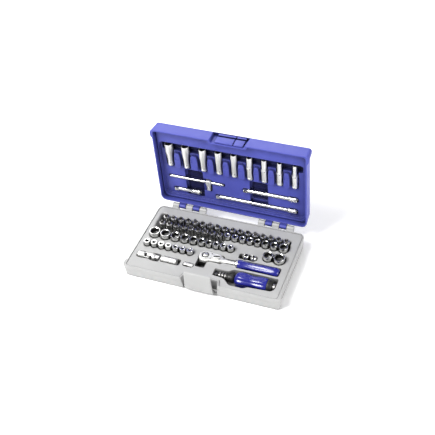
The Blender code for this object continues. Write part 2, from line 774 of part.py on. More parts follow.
def ujoint_cross():
    """Cross of the universal joint."""
    cross = make("ujoint_cross", box(-3.0, 3.0, -3.0, 3.0, -3.0, 3.0), "bit_steel")
    bar = [(1.3 * math.cos(math.pi * i / 6), 1.3 * math.sin(math.pi * i / 6)) for i in range(12)]
    sideways = stack([[(x, y, z) for x, z in bar] for y in (-5.5, 5.5)])
    return join(cross, disc(0.0, 0.0, 1.3, -5.5, 5.5, SIDES), sideways)


def ujoint_drive():
    """Yoke with the square drive."""
    body = yoke("ujoint_drive", False, True, 11.5)
    half = DRIVE / 2
    join(body, box(11.0, 19.0, -half, half, -half, half))
    pivot = [((1.3 + BORE_GAP) * math.cos(math.pi * i / 6), (1.3 + BORE_GAP) * math.sin(math.pi * i / 6))
             for i in range(12)]
    cut(body, stack([[(x, y, z) for x, z in pivot] for y in (-9.0, 9.0)]))
    smooth(body)
    return body


def coupler():
    """Bit coupler: a round body with a square socket."""
    body = make("coupler", turned_x([(0.0, 5.6), (0.6, 6.0), (12.0, 6.0), (12.8, 5.5), (15.0, 5.5), (15.8, 6.0),
                                     (27.4, 6.0), (28.0, 5.6)], 0.0, 0.0), "chrome")
    half = DRIVE / 2
    cut(body, box(-1.0, 10.0, -half, half, -half, half))
    smooth(body)
    return body


def small_adapter():
    """Little square-to-hexagon adapter."""
    half = 2.9
    body = make("small_adapter", turned_x([(8.0, 3.9), (17.0, 3.9)], 0.0, 0.0), "chrome")
    join(body, box(0.0, 9.0, -half, half, -half, half))
    smooth(body)
    return body


# --- assembly ------------------------------------------------------------------
def row_positions(start, sizes, space):
    """Centres of a row whose pitch follows the sockets' diameters."""
    positions = [start]
    for a, b in zip(sizes, sizes[1:]):
        positions.append(positions[-1] + socket_radius(a) + socket_radius(b) + space)
    return positions


def build_case():
    """Shells, trays, pins and latch."""
    lid = empty("lid_hinge", (0.0, HINGE_Y, HINGE_Z), LID_OPEN)
    base_shell()
    base_tray()
    hinge_pin("hinge_pin_left", -HINGE_GROUP_X)
    hinge_pin("hinge_pin_right", HINGE_GROUP_X)
    place(lid_shell(), (0.0, 0.0, 0.0), parent=lid)
    place(lid_tray(), (0.0, 0.0, 0.0), parent=lid)
    pivot = empty("latch_pivot", (0.0, LATCH_PIVOT_Y, LATCH_PIVOT_Z), LATCH_REST)
    place(latch(), (0.0, 0.0, 0.0), parent=pivot)
    return lid


def build_lid_tools(lid):
    """Deep sockets, T-bar and extension bars in the lid."""
    lying = (math.pi / 2, 0.0, 0.0)
    for i, (x, radius) in enumerate(zip(DEEP_X, DEEP_RADII)):
        tool = deep_socket(f"deep_socket_{i + 1}", radius, i >= STEPPED_FROM)
        place(tool, (x, DEEP_DRIVE_Y - HINGE_Y, TOOL_V), lying, lid)
    place(tbar_rod(), (0.0, TBAR_Y - HINGE_Y, TOOL_V), parent=lid)
    place(tbar_head(), (HEAD_X, TBAR_Y - HINGE_Y, TOOL_V), parent=lid)
    for name, (x, length, y) in BARS.items():
        place(extension(name, length), (x, y - HINGE_Y, TOOL_V), (0.0, math.pi / 2, 0.0), lid)


def build_socket_rows():
    """Everything that stands upright in the base."""
    for i, (x, size) in enumerate(zip(row_positions(METRIC_START, METRIC, METRIC_SPACE), METRIC)):
        place(short_socket(f"metric_socket_{i + 1}", size), (x, METRIC_Y, SOCKET_Z))
    for i, (x, size) in enumerate(zip(row_positions(INCH_START, INCH, INCH_SPACE), INCH)):
        place(short_socket(f"inch_socket_{i + 1}", size), (x, INCH_Y, SOCKET_Z))
    for i, (x, size) in enumerate(zip(LARGE_X, LARGE)):
        place(short_socket(f"large_socket_{i + 1}", size), (x, METRIC_Y, SOCKET_Z))
    for i, x in enumerate(HOLDER_X):
        place(bit_holder(f"bit_holder_{i + 1}"), (x, HOLDER_Y, SOCKET_Z))
    place(small_row(), (SMALL_START, SMALL_Y, SOCKET_Z))
    place(bit_row("bit_row_middle", MIDDLE_BITS, MIDDLE_BITS_PITCH), (MIDDLE_BITS_START, MIDDLE_BITS_Y, BIT_Z))
    place(bit_row("bit_row_back", BACK_BITS, BACK_BITS_PITCH), (BACK_BITS_START, BACK_BITS_Y, BIT_Z))


def build_lying_tools():
    """Ratchet, spinner handle, universal joint and adapters."""
    ratchet_body()
    ratchet_cover()
    ratchet_grip()
    place(ratchet_button(), (RATCHET_X, RATCHET_Y, 29.0))
    place(ratchet_lever(), (LEVER_X, RATCHET_Y, HEAD_TOP + 1.8))
    place(ratchet_drive(), (RATCHET_X, RATCHET_Y, HEAD_LOW + 0.3))
    driver_shaft()
    driver_grip()
    driver_end()
    centre = (UJOINT_X, FRONT_ROW_Y, FRONT_ROW_Z)
    place(ujoint_socket(), centre)
    place(ujoint_cross(), centre)
    place(ujoint_drive(), centre)
    place(coupler(), (-81.0, FRONT_ROW_Y, FRONT_ROW_Z))
    place(small_adapter(), (-40.0, FRONT_ROW_Y, FRONT_ROW_Z))


def main():
    """Build the whole set."""
    clear_scene()
    lid = build_case()
    build_lid_tools(lid)
    build_socket_rows()
    build_lying_tools()


main()
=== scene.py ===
"""Looks of a quarter-inch socket wrench set in its hinged case.

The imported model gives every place; this file gives each piece its finished
shape and finish.  Lengths are millimetres here and metres in the scene.
X runs along the hinge, Y from the latch to the hinge, Z up.
"""
import enum
import logging
import math
from collections.abc import Callable, Iterable, Sequence
from dataclasses import dataclass, field

import bmesh
import bpy
from mathutils import Matrix, Vector
from mathutils.geometry import delaunay_2d_cdt


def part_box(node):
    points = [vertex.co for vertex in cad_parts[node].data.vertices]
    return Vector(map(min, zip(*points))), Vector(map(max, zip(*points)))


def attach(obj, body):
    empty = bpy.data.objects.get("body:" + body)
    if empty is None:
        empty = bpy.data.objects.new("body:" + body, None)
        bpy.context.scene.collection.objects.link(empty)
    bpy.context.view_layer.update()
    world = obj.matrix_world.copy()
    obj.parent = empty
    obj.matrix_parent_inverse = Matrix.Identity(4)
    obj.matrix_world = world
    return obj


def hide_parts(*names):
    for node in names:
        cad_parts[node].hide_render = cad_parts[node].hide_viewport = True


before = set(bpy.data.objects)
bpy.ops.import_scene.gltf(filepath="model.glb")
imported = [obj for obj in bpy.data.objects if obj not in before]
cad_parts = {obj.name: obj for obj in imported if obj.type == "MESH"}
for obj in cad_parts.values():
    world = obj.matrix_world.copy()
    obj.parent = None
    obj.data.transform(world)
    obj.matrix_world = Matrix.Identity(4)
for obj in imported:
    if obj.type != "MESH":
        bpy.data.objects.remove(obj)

MM = 0.001
LOG = logging.getLogger("socket_set")

Point = tuple[float, float]
Point3 = tuple[float, float, float]
Colour = tuple[float, float, float]


# --- places ------------------------------------------------------------------
@dataclass(frozen=True)
class Extent:
    """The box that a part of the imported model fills, in millimetres."""

    low: Vector
    high: Vector

    @classmethod
    def of(cls, node: str) -> "Extent":
        """The box of one part by its name."""
        low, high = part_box(node)
        return cls(Vector(low) / MM, Vector(high) / MM)

    @property
    def centre(self) -> Vector:
        """The middle of the box."""
        return (self.low + self.high) / 2

    @property
    def size(self) -> Vector:
        """The three sides of the box."""
        return self.high - self.low


def along_x(x: float, y: float, z: float) -> Matrix:
    """A placement that lays a piece built along Z down along +X."""
    turn = Matrix(((0, 0, 1, 0), (1, 0, 0, 0), (0, 1, 0, 0), (0, 0, 0, 1)))
    return Matrix.Translation((x, y, z)) @ turn


# --- outlines ------------------------------------------------------------------
def rectangle(x0: float, x1: float, y0: float, y1: float) -> list[Point]:
    """A rectangle's corners, counter-clockwise."""
    return [(x0, y0), (x1, y0), (x1, y1), (x0, y1)]


def circle(x: float, y: float, radius: float, steps: int = 32) -> list[Point]:
    """A circle's points, counter-clockwise."""
    turns = (2 * math.pi * i / steps for i in range(steps))
    return [(x + radius * math.cos(turn), y + radius * math.sin(turn)) for turn in turns]


def rounded(corners: Sequence[tuple[float, float, float]], steps: int = 6) -> list[Point]:
    """Round every corner of a closed outline.

    Args:
        corners: x, y and how far along both sides the rounding starts.
        steps: pieces in each rounding.

    Returns:
        The rounded outline's points.
    """
    points: list[Point] = []
    for i, (x, y, reach) in enumerate(corners):
        corner = Vector((x, y))
        before = Vector(corners[i - 1][:2]) - corner
        after = Vector(corners[(i + 1) % len(corners)][:2]) - corner
        reach = min(reach, before.length * 0.48, after.length * 0.48)
        start = corner + before.normalized() * reach
        end = corner + after.normalized() * reach
        for k in range(steps + 1):
            t = k / steps
            weight = (1 - t) ** 2 + 2 * 0.75 * t * (1 - t) + t ** 2
            spot = ((1 - t) ** 2 * start + 2 * 0.75 * t * (1 - t) * corner + t ** 2 * end) / weight
            points.append((spot.x, spot.y))
    return points


def quarter(steps: int) -> list[float]:
    """Angles from nothing to a quarter turn, in even steps."""
    return [math.pi / 2 * k / steps for k in range(steps + 1)]


def seat(x0: float, x1: float, y0: float, y1: float, reach: float = 3.0) -> list[Point]:
    """A rectangle with rounded corners, counter-clockwise."""
    return rounded([(x0, y0, reach), (x1, y0, reach), (x1, y1, reach), (x0, y1, reach)])


def grown(outline: Sequence[Point], distance: float) -> list[Point]:
    """Move a counter-clockwise outline outwards, or inwards where the distance is negative.

    Args:
        outline: closed outline, counter-clockwise.
        distance: how far every side moves.

    Returns:
        The moved outline.
    """
    points = []
    for i, here in enumerate(outline):
        spot = Vector(here)
        before = (spot - Vector(outline[i - 1])).normalized()
        after = (Vector(outline[(i + 1) % len(outline)]) - spot).normalized()
        normal = Vector((before.y + after.y, -before.x - after.x))
        if normal.length < 1e-6:
            normal = Vector((before.y, -before.x))
        normal.normalize()
        stretch = max(0.6, normal.dot(Vector((before.y, -before.x))))
        spot += normal * distance / stretch
        points.append((spot.x, spot.y))
    return points


def merged(shapes: Iterable[Sequence[Point]]) -> list[Point]:
    """The outer outline of several overlapping shapes.

    Args:
        shapes: closed outlines, each overlapping another.

    Returns:
        The longest outline round them all, counter-clockwise.
    """
    verts: list[Vector] = []
    faces: list[list[int]] = []
    for shape in shapes:
        start = len(verts)
        verts += [Vector(point) for point in shape]
        faces.append(list(range(start, len(verts))))
    spots, _, triangles, _, _, owners = delaunay_2d_cdt(verts, [], faces, 1, 1e-4)
    sides: set[tuple[int, int]] = set()
    for triangle, owner in zip(triangles, owners):
        if not owner:
            continue
        for a, b in zip(triangle, triangle[1:] + triangle[:1]):
            if (b, a) in sides:
                sides.discard((b, a))
            else:
                sides.add((a, b))
    following = dict(sides)
    loops = []
    while following:
        first, here = following.popitem()
        loop = [first]
        while here != first:
            loop.append(here)
            here = following.pop(here)
        loops.append([(spots[i].x, spots[i].y) for i in loop])
    longest = max(loops, key=len_of)
    start = longest.index(min(longest))
    return longest[start:] + longest[:start]


def len_of(outline: Sequence[Point]) -> float:
    """The length of a closed outline."""
    return sum(math.dist(a, b) for a, b in zip(outline, [*outline[1:], outline[0]]))


def softened(outline: Sequence[Point], step: float = 0.9, rounds: int = 6) -> list[Point]:
    """Round every corner of an outline by evening out its points.

    Args:
        outline: a closed outline.
        step: spacing of the points.
        rounds: times that each point moves towards its neighbours.

    Returns:
        The softened outline, without the points that lie on straight runs.
    """
    points: list[Vector] = []
    for a, b in zip(outline, [*outline[1:], outline[0]]):
        count = max(1, round(math.dist(a, b) / step))
        points += [Vector(a).lerp(Vector(b), k / count) for k in range(count)]
    points = [p for p, q in zip(points, points[-1:] + points[:-1]) if (p - q).length > step * 0.2]
    for _ in range(rounds):
        around = zip(points[-1:] + points[:-1], points, points[1:] + points[:1])
        points = [here * 0.5 + (before + after) * 0.25 for before, here, after in around]
    kept: list[Point] = []
    run = 0
    for before, here, after in zip(points[-1:] + points[:-1], points, points[1:] + points[:1]):
        bend = abs((here - before).cross(after - here))
        run += 1
        if bend > 0.002 or run > 24:
            kept.append((here.x, here.y))
            run = 0
    return kept


# --- solids --------------------------------------------------------------------
@dataclass(frozen=True)
class Pocket:
    """A recess in a face, or an island standing on it.

    Attributes:
        outline: plan, counter-clockwise.
        floor: height of its floor, or of the island's top.
        raised: whether it stands proud of the face.
        edge: radius at the upper edge.
        foot: radius where the wall meets the lower face.
        draft: how far the wall leans.
        inside: pockets in its own floor.
        broad: whether the upper radius lies inside the plan, as it does at a wide lead-in.
    """

    outline: list[Point]
    floor: float
    raised: bool = False
    edge: float = 0.5
    foot: float = 0.8
    draft: float = 0.2
    inside: tuple["Pocket", ...] = ()
    broad: bool = False

    def section(self, level: float) -> list[tuple[float, float]]:
        """The wall's section from the face to the floor.

        Args:
            level: height of the face it is in.

        Returns:
            Pairs of offset from the outline and height.
        """
        height = abs(self.floor - level)
        way = 1.0 if self.floor > level else -1.0
        edge = min(self.edge, height * 0.45)
        foot = min(self.foot, height * 0.45)
        steps = quarter(3)
        if self.raised:
            lean = self.draft + foot
            pairs = [(lean - foot * math.sin(a), foot - foot * math.cos(a)) for a in steps]
            pairs += [(edge * (math.cos(a) - 1), height - edge + edge * math.sin(a)) for a in steps]
        else:
            rim = 0.0 if self.broad else edge
            end = rim - edge - self.draft
            pairs = [(rim - edge * math.sin(a), edge * (1 - math.cos(a))) for a in steps]
            pairs += [(end - foot * (1 - math.cos(a)), height - foot + foot * math.sin(a)) for a in steps]
        return [(offset, level + way * drop) for offset, drop in pairs]


class Solid:
    """One closed solid being built, in millimetres."""

    def __init__(self) -> None:
        """Start with nothing."""
        self.bm = bmesh.new()

    def loop(self, points: Iterable[Point3]) -> list[bmesh.types.BMVert]:
        """Add a ring of points."""
        return [self.bm.verts.new(point) for point in points]

    def flat_loop(self, outline: Iterable[Point], z: float) -> list[bmesh.types.BMVert]:
        """Add an outline at one height."""
        return self.loop((x, y, z) for x, y in outline)

    def wall(self, low: list[bmesh.types.BMVert], high: list[bmesh.types.BMVert],
             finish: int = 0) -> None:
        """Join two rings of equal count by a smooth band of one finish.

        Args:
            low: the first ring.
            high: the second ring.
            finish: which of the piece's finishes the band takes.
        """
        for i in range(len(low)):
            j = (i + 1) % len(low)
            face = self.bm.faces.new((low[i], low[j], high[j], high[i]))
            face.smooth = True
            face.material_index = finish

    def walls(self, rings: Sequence[list[bmesh.types.BMVert]]) -> None:
        """Join several rings in order."""
        for low, high in zip(rings, rings[1:]):
            self.wall(low, high)

    def cap(self, ring: list[bmesh.types.BMVert]) -> None:
        """Close a ring with one flat face."""
        self.bm.faces.new(ring)

    def sheet(self, outer: list[bmesh.types.BMVert], holes: list[list[bmesh.types.BMVert]]) -> None:
        """Fill the flat face between an outer ring and the rings of its holes.

        Args:
            outer: the ring round the face.
            holes: the rings round its holes.
        """
        rings = [outer, *holes]
        verts = [vert for ring in rings for vert in ring]
        faces = []
        start = 0
        for ring in rings:
            faces.append(list(range(start, start + len(ring))))
            start += len(ring)
        flat = [Vector((vert.co.x, vert.co.y)) for vert in verts]
        _, _, triangles, sources, _, owners = delaunay_2d_cdt(flat, [], faces, 1, 1e-5)
        for triangle, owner in zip(triangles, owners):
            if list(owner) != [0] or any(not sources[i] for i in triangle):
                continue
            corners = [verts[sources[i][0]] for i in triangle]
            if len(set(corners)) == 3 and not self.bm.faces.get(corners):
                self.bm.faces.new(corners)

    def face(self, outer: list[bmesh.types.BMVert], level: float, pockets: Iterable[Pocket]) -> None:
        """Fill a face and sink its pockets.

        Args:
            outer: the ring round the face.
            level: height of the face.
            pockets: recesses and islands in it.
        """
        holes = []
        for pocket in pockets:
            section = pocket.section(level)
            rings = [self.flat_loop(grown(pocket.outline, offset), z) for offset, z in section]
            self.walls(rings)
            holes.append(rings[0])
            self.face(rings[-1], pocket.floor, pocket.inside)
        self.sheet(outer, holes)

    def stack(self, rings: Sequence[Iterable[Point3]], closed: bool = False, bore: int = 999) -> "Solid":
        """Run bands through rings of equal count.

        Args:
            rings: the rings in order.
            closed: whether the last ring joins the first, as in a tube.
            bore: ring from which the bands take the second finish.

        Returns:
            This solid.
        """
        loops = [self.loop(ring) for ring in rings]
        for i, (low, high) in enumerate(zip(loops, loops[1:])):
            self.wall(low, high, int(i >= bore))
        if closed:
            self.wall(loops[-1], loops[0], int(len(loops) > bore))
        else:
            self.cap(loops[0])
            self.cap(loops[-1])
        return self

    def facing_out(self) -> "Solid":
        """Turn every face outwards.

        Returns:
            This solid.
        """
        bmesh.ops.recalc_face_normals(self.bm, faces=self.bm.faces)
        if self.bm.calc_volume(signed=True) < 0.0:
            bmesh.ops.reverse_faces(self.bm, faces=self.bm.faces)
        return self

    def placed(self, matrix: Matrix) -> "Solid":
        """Move the whole solid."""
        bmesh.ops.transform(self.bm, matrix=matrix, verts=self.bm.verts)
        return self

    def bent(self, move: Callable[[Vector], Vector]) -> "Solid":
        """Move every point by a rule.

        Args:
            move: gives the new place of a point.

        Returns:
            This solid.
        """
        for vert in self.bm.verts:
            vert.co = move(vert.co)
        return self


def slab(outline: Sequence[Point], z0: float, z1: float, edge: float = 0.6, foot: float = 0.6) -> Solid:
    """An upright block with rounded upper and lower edges.

    Args:
        outline: plan, counter-clockwise.
        z0: lower face.
        z1: upper face.
        edge: radius of the upper edge.
        foot: radius of the lower edge.

    Returns:
        The solid.
    """
    steps = quarter(3)
    pairs = [(-foot * (1 - math.sin(a)), z0 + foot * (1 - math.cos(a))) for a in steps]
    pairs += [(-edge * (1 - math.cos(a)), z1 - edge + edge * math.sin(a)) for a in steps]
    rings = [[(x, y, z) for x, y in grown(outline, offset)] for offset, z in pairs]
    return Solid().stack(rings).facing_out()


def block(x0: float, x1: float, y0: float, y1: float, z0: float, z1: float, edge: float = 0.4) -> Solid:
    """A block with every edge rounded."""
    corners = [(x0, y0, edge), (x1, y0, edge), (x1, y1, edge), (x0, y1, edge)]
    return slab(rounded(corners, 3), z0, z1, edge, edge)


def turned(profile: Sequence[Point], sides: int = 48, closed: bool = False) -> Solid:
    """A piece turned about Z.

    Args:
        profile: radius and height of each ring, in order.
        sides: points in each ring.
        closed: whether it is a ring with a hole through it.

    Returns:
        The solid.
    """
    rings = [[(x, y, z) for x, y in circle(0.0, 0.0, radius, sides)] for radius, z in profile]
    return Solid().stack(rings, closed).facing_out()


def lobed(sections: Sequence[tuple[float, float, float]], lobes: int, sides: int = 72,
          power: float = 1.0) -> Solid:
    """A grip turned about Z with flutes along it.

    Args:
        sections: height, radius and flute depth of each ring.
        lobes: number of flutes.
        sides: points in each ring.
        power: sharpness of the flutes.

    Returns:
        The solid.
    """
    rings = []
    for z, radius, depth in sections:
        ring = []
        for i in range(sides):
            turn = 2 * math.pi * i / sides
            wave = (0.5 + 0.5 * math.cos(lobes * turn)) ** power
            reach = radius - depth * wave
            ring.append((reach * math.cos(turn), reach * math.sin(turn), z))
        rings.append(ring)
    return Solid().stack(rings).facing_out()


def polygon_reach(corners: int, across: float, turn: float) -> float:
    """Distance from the centre to a regular polygon's side in one direction."""
    step = 2 * math.pi / corners
    return across / 2 / math.cos(turn % step - step / 2)


def polygon_ring(corners: int, across: float, z: float, sides: int = 48) -> list[Point3]:
    """A regular polygon sampled at even angles.

    Args:
        corners: number of corners.
        across: width across flats.
        z: height.
        sides: points in the ring.

    Returns:
        The ring.
    """
    ring = []
    for i in range(sides):
        turn = 2 * math.pi * i / sides
        reach = polygon_reach(corners, across, turn)
        ring.append((reach * math.cos(turn), reach * math.sin(turn), z))
    return ring


def round_ring(radius: float, z: float, sides: int = 48) -> list[Point3]:
    """A circle at one height."""
    return [(x, y, z) for x, y in circle(0.0, 0.0, radius, sides)]


def chamfer_ring(corners: int, across: float, mouth: float, z: float, sides: int = 48) -> list[Point3]:
    """Where a cone-shaped mouth meets the flats of a polygon hole.

    Args:
        corners: corners of the hole.
        across: its width across flats.
        mouth: radius of the mouth at the face.
        z: height of the face.
        sides: points in the ring.

    Returns:
        A ring whose height follows the flats.
    """
    ring = []
    for i in range(sides):
        turn = 2 * math.pi * i / sides
        reach = polygon_reach(corners, across, turn)
        ring.append((reach * math.cos(turn), reach * math.sin(turn), z - (mouth - reach) * 0.8))
    return ring


# --- finishes --------------------------------------------------------------------
class NodeGraph:
    """Shader nodes of one material, with short ways to add and link them."""

    def __init__(self, name: str) -> None:
        """Make a material with only its surface shader.

        Args:
            name: name of the material.
        """
        self.material = bpy.data.materials.new(name)
        self.material.use_nodes = True
        self.tree = self.material.node_tree
        self.shader = self.tree.nodes["Principled BSDF"]
        self.place = self.add("ShaderNodeTexCoord").outputs["Object"]

    def add(self, kind: str, **settings: object) -> bpy.types.Node:
        """Add a node and set its options.

        Args:
            kind: type of the node.
            **settings: its options by name.

        Returns:
            The node.
        """
        node = self.tree.nodes.new(kind)
        for key, value in settings.items():
            setattr(node, key, value)
        return node

    def link(self, source: bpy.types.NodeSocket, target: bpy.types.NodeSocket) -> None:
        """Join two sockets."""
        self.tree.links.new(source, target)

    def noise(self, scale: float, detail: float = 2.0,
              stretch: Point3 = (1.0, 1.0, 1.0)) -> bpy.types.NodeSocket:
        """Noise over the piece, with features of about one over scale metres.

        Args:
            scale: features in a metre.
            detail: finer layers.
            stretch: scale along each axis.

        Returns:
            The noise, about 0.5.
        """
        mapping = self.add("ShaderNodeMapping")
        mapping.inputs["Scale"].default_value = stretch
        self.link(self.place, mapping.inputs["Vector"])
        node = self.add("ShaderNodeTexNoise")
        node.inputs["Scale"].default_value = scale
        node.inputs["Detail"].default_value = detail
        self.link(mapping.outputs["Vector"], node.inputs["Vector"])
        return node.outputs["Fac"]

    def ramp(self, value: bpy.types.NodeSocket, low: float, high: float) -> bpy.types.NodeSocket:
        """Spread a 0 to 1 value between two numbers.

        Args:
            value: what is spread.
            low: result where the value is low.
            high: result where it is high.

        Returns:
            The spread value.
        """
        node = self.add("ShaderNodeMapRange")
        node.inputs["From Min"].default_value = 0.3
        node.inputs["From Max"].default_value = 0.7
        node.inputs["To Min"].default_value = low
        node.inputs["To Max"].default_value = high
        self.link(value, node.inputs["Value"])
        return node.outputs["Result"]

    def blend(self, value: bpy.types.NodeSocket, low: Colour, high: Colour) -> bpy.types.NodeSocket:
        """Blend two colours by a 0 to 1 value.

        Args:
            value: the share of the second colour.
            low: the first colour.
            high: the second colour.

        Returns:
            The blended colour.
        """
        node = self.add("ShaderNodeMix", data_type="RGBA")
        self.link(value, node.inputs["Factor"])
        node.inputs["A"].default_value = (*low, 1.0)
        node.inputs["B"].default_value = (*high, 1.0)
        return node.outputs["Result"]

    def over(self, value: bpy.types.NodeSocket, below: bpy.types.NodeSocket,
             top: Colour) -> bpy.types.NodeSocket:
        """Lay a colour over another one where the value is high.

        Args:
            value: how much of the upper colour shows.
            below: the lower colour.
            top: the upper colour.

        Returns:
            The laid colour.
        """
        node = self.add("ShaderNodeMix", data_type="RGBA")
        self.link(value, node.inputs["Factor"])
        self.link(below, node.inputs["A"])
        node.inputs["B"].default_value = (*top, 1.0)
        return node.outputs["Result"]

    def edges(self, start: float, end: float) -> bpy.types.NodeSocket:
        """High along worn convex edges.

        Args:
            start: sharpness at which wear begins.
            end: sharpness at which it is full.

        Returns:
            The amount of wear.
        """
        geometry = self.add("ShaderNodeNewGeometry")
        node = self.add("ShaderNodeMapRange")
        node.inputs["From Min"].default_value = start
        node.inputs["From Max"].default_value = end
        self.link(geometry.outputs["Pointiness"], node.inputs["Value"])
        return node.outputs["Result"]

    def scaled(self, value: bpy.types.NodeSocket, factor: float) -> bpy.types.NodeSocket:
        """Multiply a value and hold it between 0 and 1.

        Args:
            value: what is multiplied.
            factor: by how much.

        Returns:
            The product.
        """
        node = self.add("ShaderNodeMath", operation="MULTIPLY", use_clamp=True)
        self.link(value, node.inputs[0])
        node.inputs[1].default_value = factor
        return node.outputs[0]

    def recess(self, reach: float, start: float, full: float) -> bpy.types.NodeSocket:
        """High in deep and narrow places, where the colour is darkened as painted shade.

        Args:
            reach: how far round about is judged, in millimetres.
            start: openness from 0 to 1 below which the painted shade starts.
            full: openness at which it is complete.

        Returns:
            The amount of painted shade.
        """
        cavity = self.add("ShaderNodeAmbientOcclusion", samples=8)
        cavity.inputs["Distance"].default_value = reach * MM
        node = self.add("ShaderNodeMapRange")
        node.inputs["From Min"].default_value = start
        node.inputs["From Max"].default_value = full
        self.link(cavity.outputs["AO"], node.inputs["Value"])
        return node.outputs["Result"]

    def bump(self, value: bpy.types.NodeSocket, strength: float, depth: float) -> None:
        """Raise the surface by a value, in millimetres.

        Args:
            value: height of the relief.
            strength: how strongly it shows.
            depth: its depth.
        """
        node = self.add("ShaderNodeBump")
        node.inputs["Strength"].default_value = strength
        node.inputs["Distance"].default_value = depth * MM
        self.link(value, node.inputs["Height"])
        if self.shader.inputs["Normal"].is_linked:
            self.link(self.shader.inputs["Normal"].links[0].from_socket, node.inputs["Normal"])
        self.link(node.outputs["Normal"], self.shader.inputs["Normal"])


@dataclass(frozen=True)
class Plastic:
    """Moulded plastic with a fine spark texture, faint flow marks, rubbed edges and painted shade in its
    recesses.

    Attributes:
        name: material name.
        colour: base colour.
        shift: how much lighter and darker the flow marks are.
        worn: colour along rubbed edges.
        smooth: roughness range.
        grain: depth of the texture in millimetres.
        coat: clear gloss over it.
        gloss: strength of its own shine.
        cavity: reach, start and full openness of the painted shade in recesses.
    """

    name: str
    colour: Colour
    shift: float
    worn: Colour
    smooth: tuple[float, float]
    grain: float = 0.02
    coat: float = 0.0
    gloss: float = 0.5
    cavity: tuple[float, float, float] = (16.0, 0.6, 0.15)

    def material(self) -> bpy.types.Material:
        """Build the material once.

        Returns:
            The material.
        """
        found = bpy.data.materials.get(self.name)
        if found:
            return found
        graph = NodeGraph(self.name)
        darker = tuple(channel * (1 - self.shift) for channel in self.colour)
        lighter = tuple(channel * (1 + self.shift) for channel in self.colour)
        tone = graph.blend(graph.ramp(graph.noise(18.0, 4.0), 0.0, 1.0), darker, lighter)
        speck = graph.ramp(graph.noise(1400.0, 1.0), -0.6, 1.0)
        tone = graph.over(graph.scaled(speck, 0.12), tone, self.worn)
        tone = graph.over(graph.scaled(graph.edges(0.52, 0.62), 0.35), tone, self.worn)
        # Painted shade: recesses darken towards a dark copy of the colour, found by ambient occlusion.
        shade_colour = tuple(channel * 0.12 for channel in self.colour)
        tone = graph.over(graph.scaled(graph.recess(*self.cavity), 0.95), tone, shade_colour)
        graph.link(tone, graph.shader.inputs["Base Color"])
        graph.link(graph.ramp(graph.noise(60.0, 5.0), *self.smooth), graph.shader.inputs["Roughness"])
        graph.shader.inputs["Specular IOR Level"].default_value = self.gloss
        graph.shader.inputs["Coat Weight"].default_value = self.coat
        graph.shader.inputs["Coat Roughness"].default_value = 0.12
        graph.bump(graph.noise(2200.0, 2.0), 0.35, self.grain)
        graph.bump(graph.noise(90.0, 2.0), 0.12, 0.15)
        return graph.material


@dataclass(frozen=True)
class Plate:
    """Plated or bare steel with polishing marks, rubbed edges and painted shade in its recesses.

    Attributes:
        name: material name.
        colour: base colour.
        tint: colour in the duller patches.
        smooth: roughness range.
        marks: depth of the polishing marks in millimetres.
        stretch: scale of the marks along each axis.
    """

    name: str
    colour: Colour
    tint: Colour
    smooth: tuple[float, float]
    marks: float = 0.01
    stretch: Point3 = (1.0, 1.0, 8.0)

    def material(self) -> bpy.types.Material:
        """Build the material once.

        Returns:
            The material.
        """
        found = bpy.data.materials.get(self.name)
        if found:
            return found
        graph = NodeGraph(self.name)
        tone = graph.blend(graph.ramp(graph.noise(70.0, 4.0), 0.0, 1.0), self.tint, self.colour)
        worn = tuple(min(1.0, channel * 1.12) for channel in self.colour)
        tone = graph.over(graph.scaled(graph.edges(0.53, 0.60), 0.5), tone, worn)
        # Painted shade: recesses darken towards a dark copy of the tint, found by ambient occlusion.
        shade_colour = tuple(channel * 0.15 for channel in self.tint)
        tone = graph.over(graph.scaled(graph.recess(6.0, 0.6, 0.15), 0.8), tone, shade_colour)
        graph.link(tone, graph.shader.inputs["Base Color"])
        graph.shader.inputs["Metallic"].default_value = 1.0
        graph.link(graph.ramp(graph.noise(160.0, 5.0, self.stretch), *self.smooth),
                   graph.shader.inputs["Roughness"])
        graph.bump(graph.noise(900.0, 3.0, self.stretch), 0.2, self.marks)
        return graph.material


# Each plastic darkens its recesses as painted shade; the blue one's reaches further and starts sooner, to
# darken the lid's trench and wells.
GREY_PLASTIC = Plastic("grey_case_plastic", (0.36, 0.36, 0.358), 0.05, (0.46, 0.46, 0.455), (0.42, 0.55))
BLUE_PLASTIC = Plastic("blue_case_plastic", (0.058, 0.068, 0.33), 0.08, (0.13, 0.14, 0.48), (0.36, 0.48),
                       gloss=0.24, cavity=(28.0, 0.86, 0.36))
# A dark navy sheet laid on the finger wells' floors as painted shade.
SHADE_PAD = Plastic("painted_shade_pad", (0.006, 0.007, 0.055), 0.15, (0.02, 0.02, 0.10), (0.5, 0.65), 0.03,
                   gloss=0.2)
BLUE_GRIP = Plastic("blue_grip", (0.010, 0.012, 0.21), 0.10, (0.05, 0.06, 0.42), (0.22, 0.34), 0.01, 0.5)
BLACK_GRIP = Plastic("black_grip", (0.012, 0.012, 0.011), 0.20, (0.06, 0.06, 0.06), (0.35, 0.5), 0.03)
POLISHED = Plate("polished_chrome", (0.68, 0.68, 0.67), (0.52, 0.52, 0.51), (0.16, 0.28))
SATIN = Plate("satin_chrome", (0.78, 0.78, 0.77), (0.70, 0.70, 0.68), (0.42, 0.55))
BRUSHED = Plate("brushed_chrome", (0.90, 0.90, 0.88), (0.78, 0.78, 0.76), (0.56, 0.68), 0.02)
TOOL_STEEL = Plate("tool_steel", (0.36, 0.35, 0.34), (0.22, 0.21, 0.21), (0.28, 0.45), 0.02)
DARK_STEEL = Plate("dark_steel", (0.08, 0.08, 0.08), (0.04, 0.04, 0.04), (0.30, 0.45), 0.02)
BROACHED = Plate("broached_bore", (0.19, 0.19, 0.19), (0.08, 0.08, 0.08), (0.35, 0.55), 0.03)


class Slot(enum.Enum):
    """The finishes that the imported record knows."""

    BASE = "base_plastic"
    LID = "lid_plastic"
    CHROME = "chrome"
    BIT = "bit_steel"
    PIN = "pin_steel"
    GRIP = "grip_blue"
    BLACK = "grip_black"


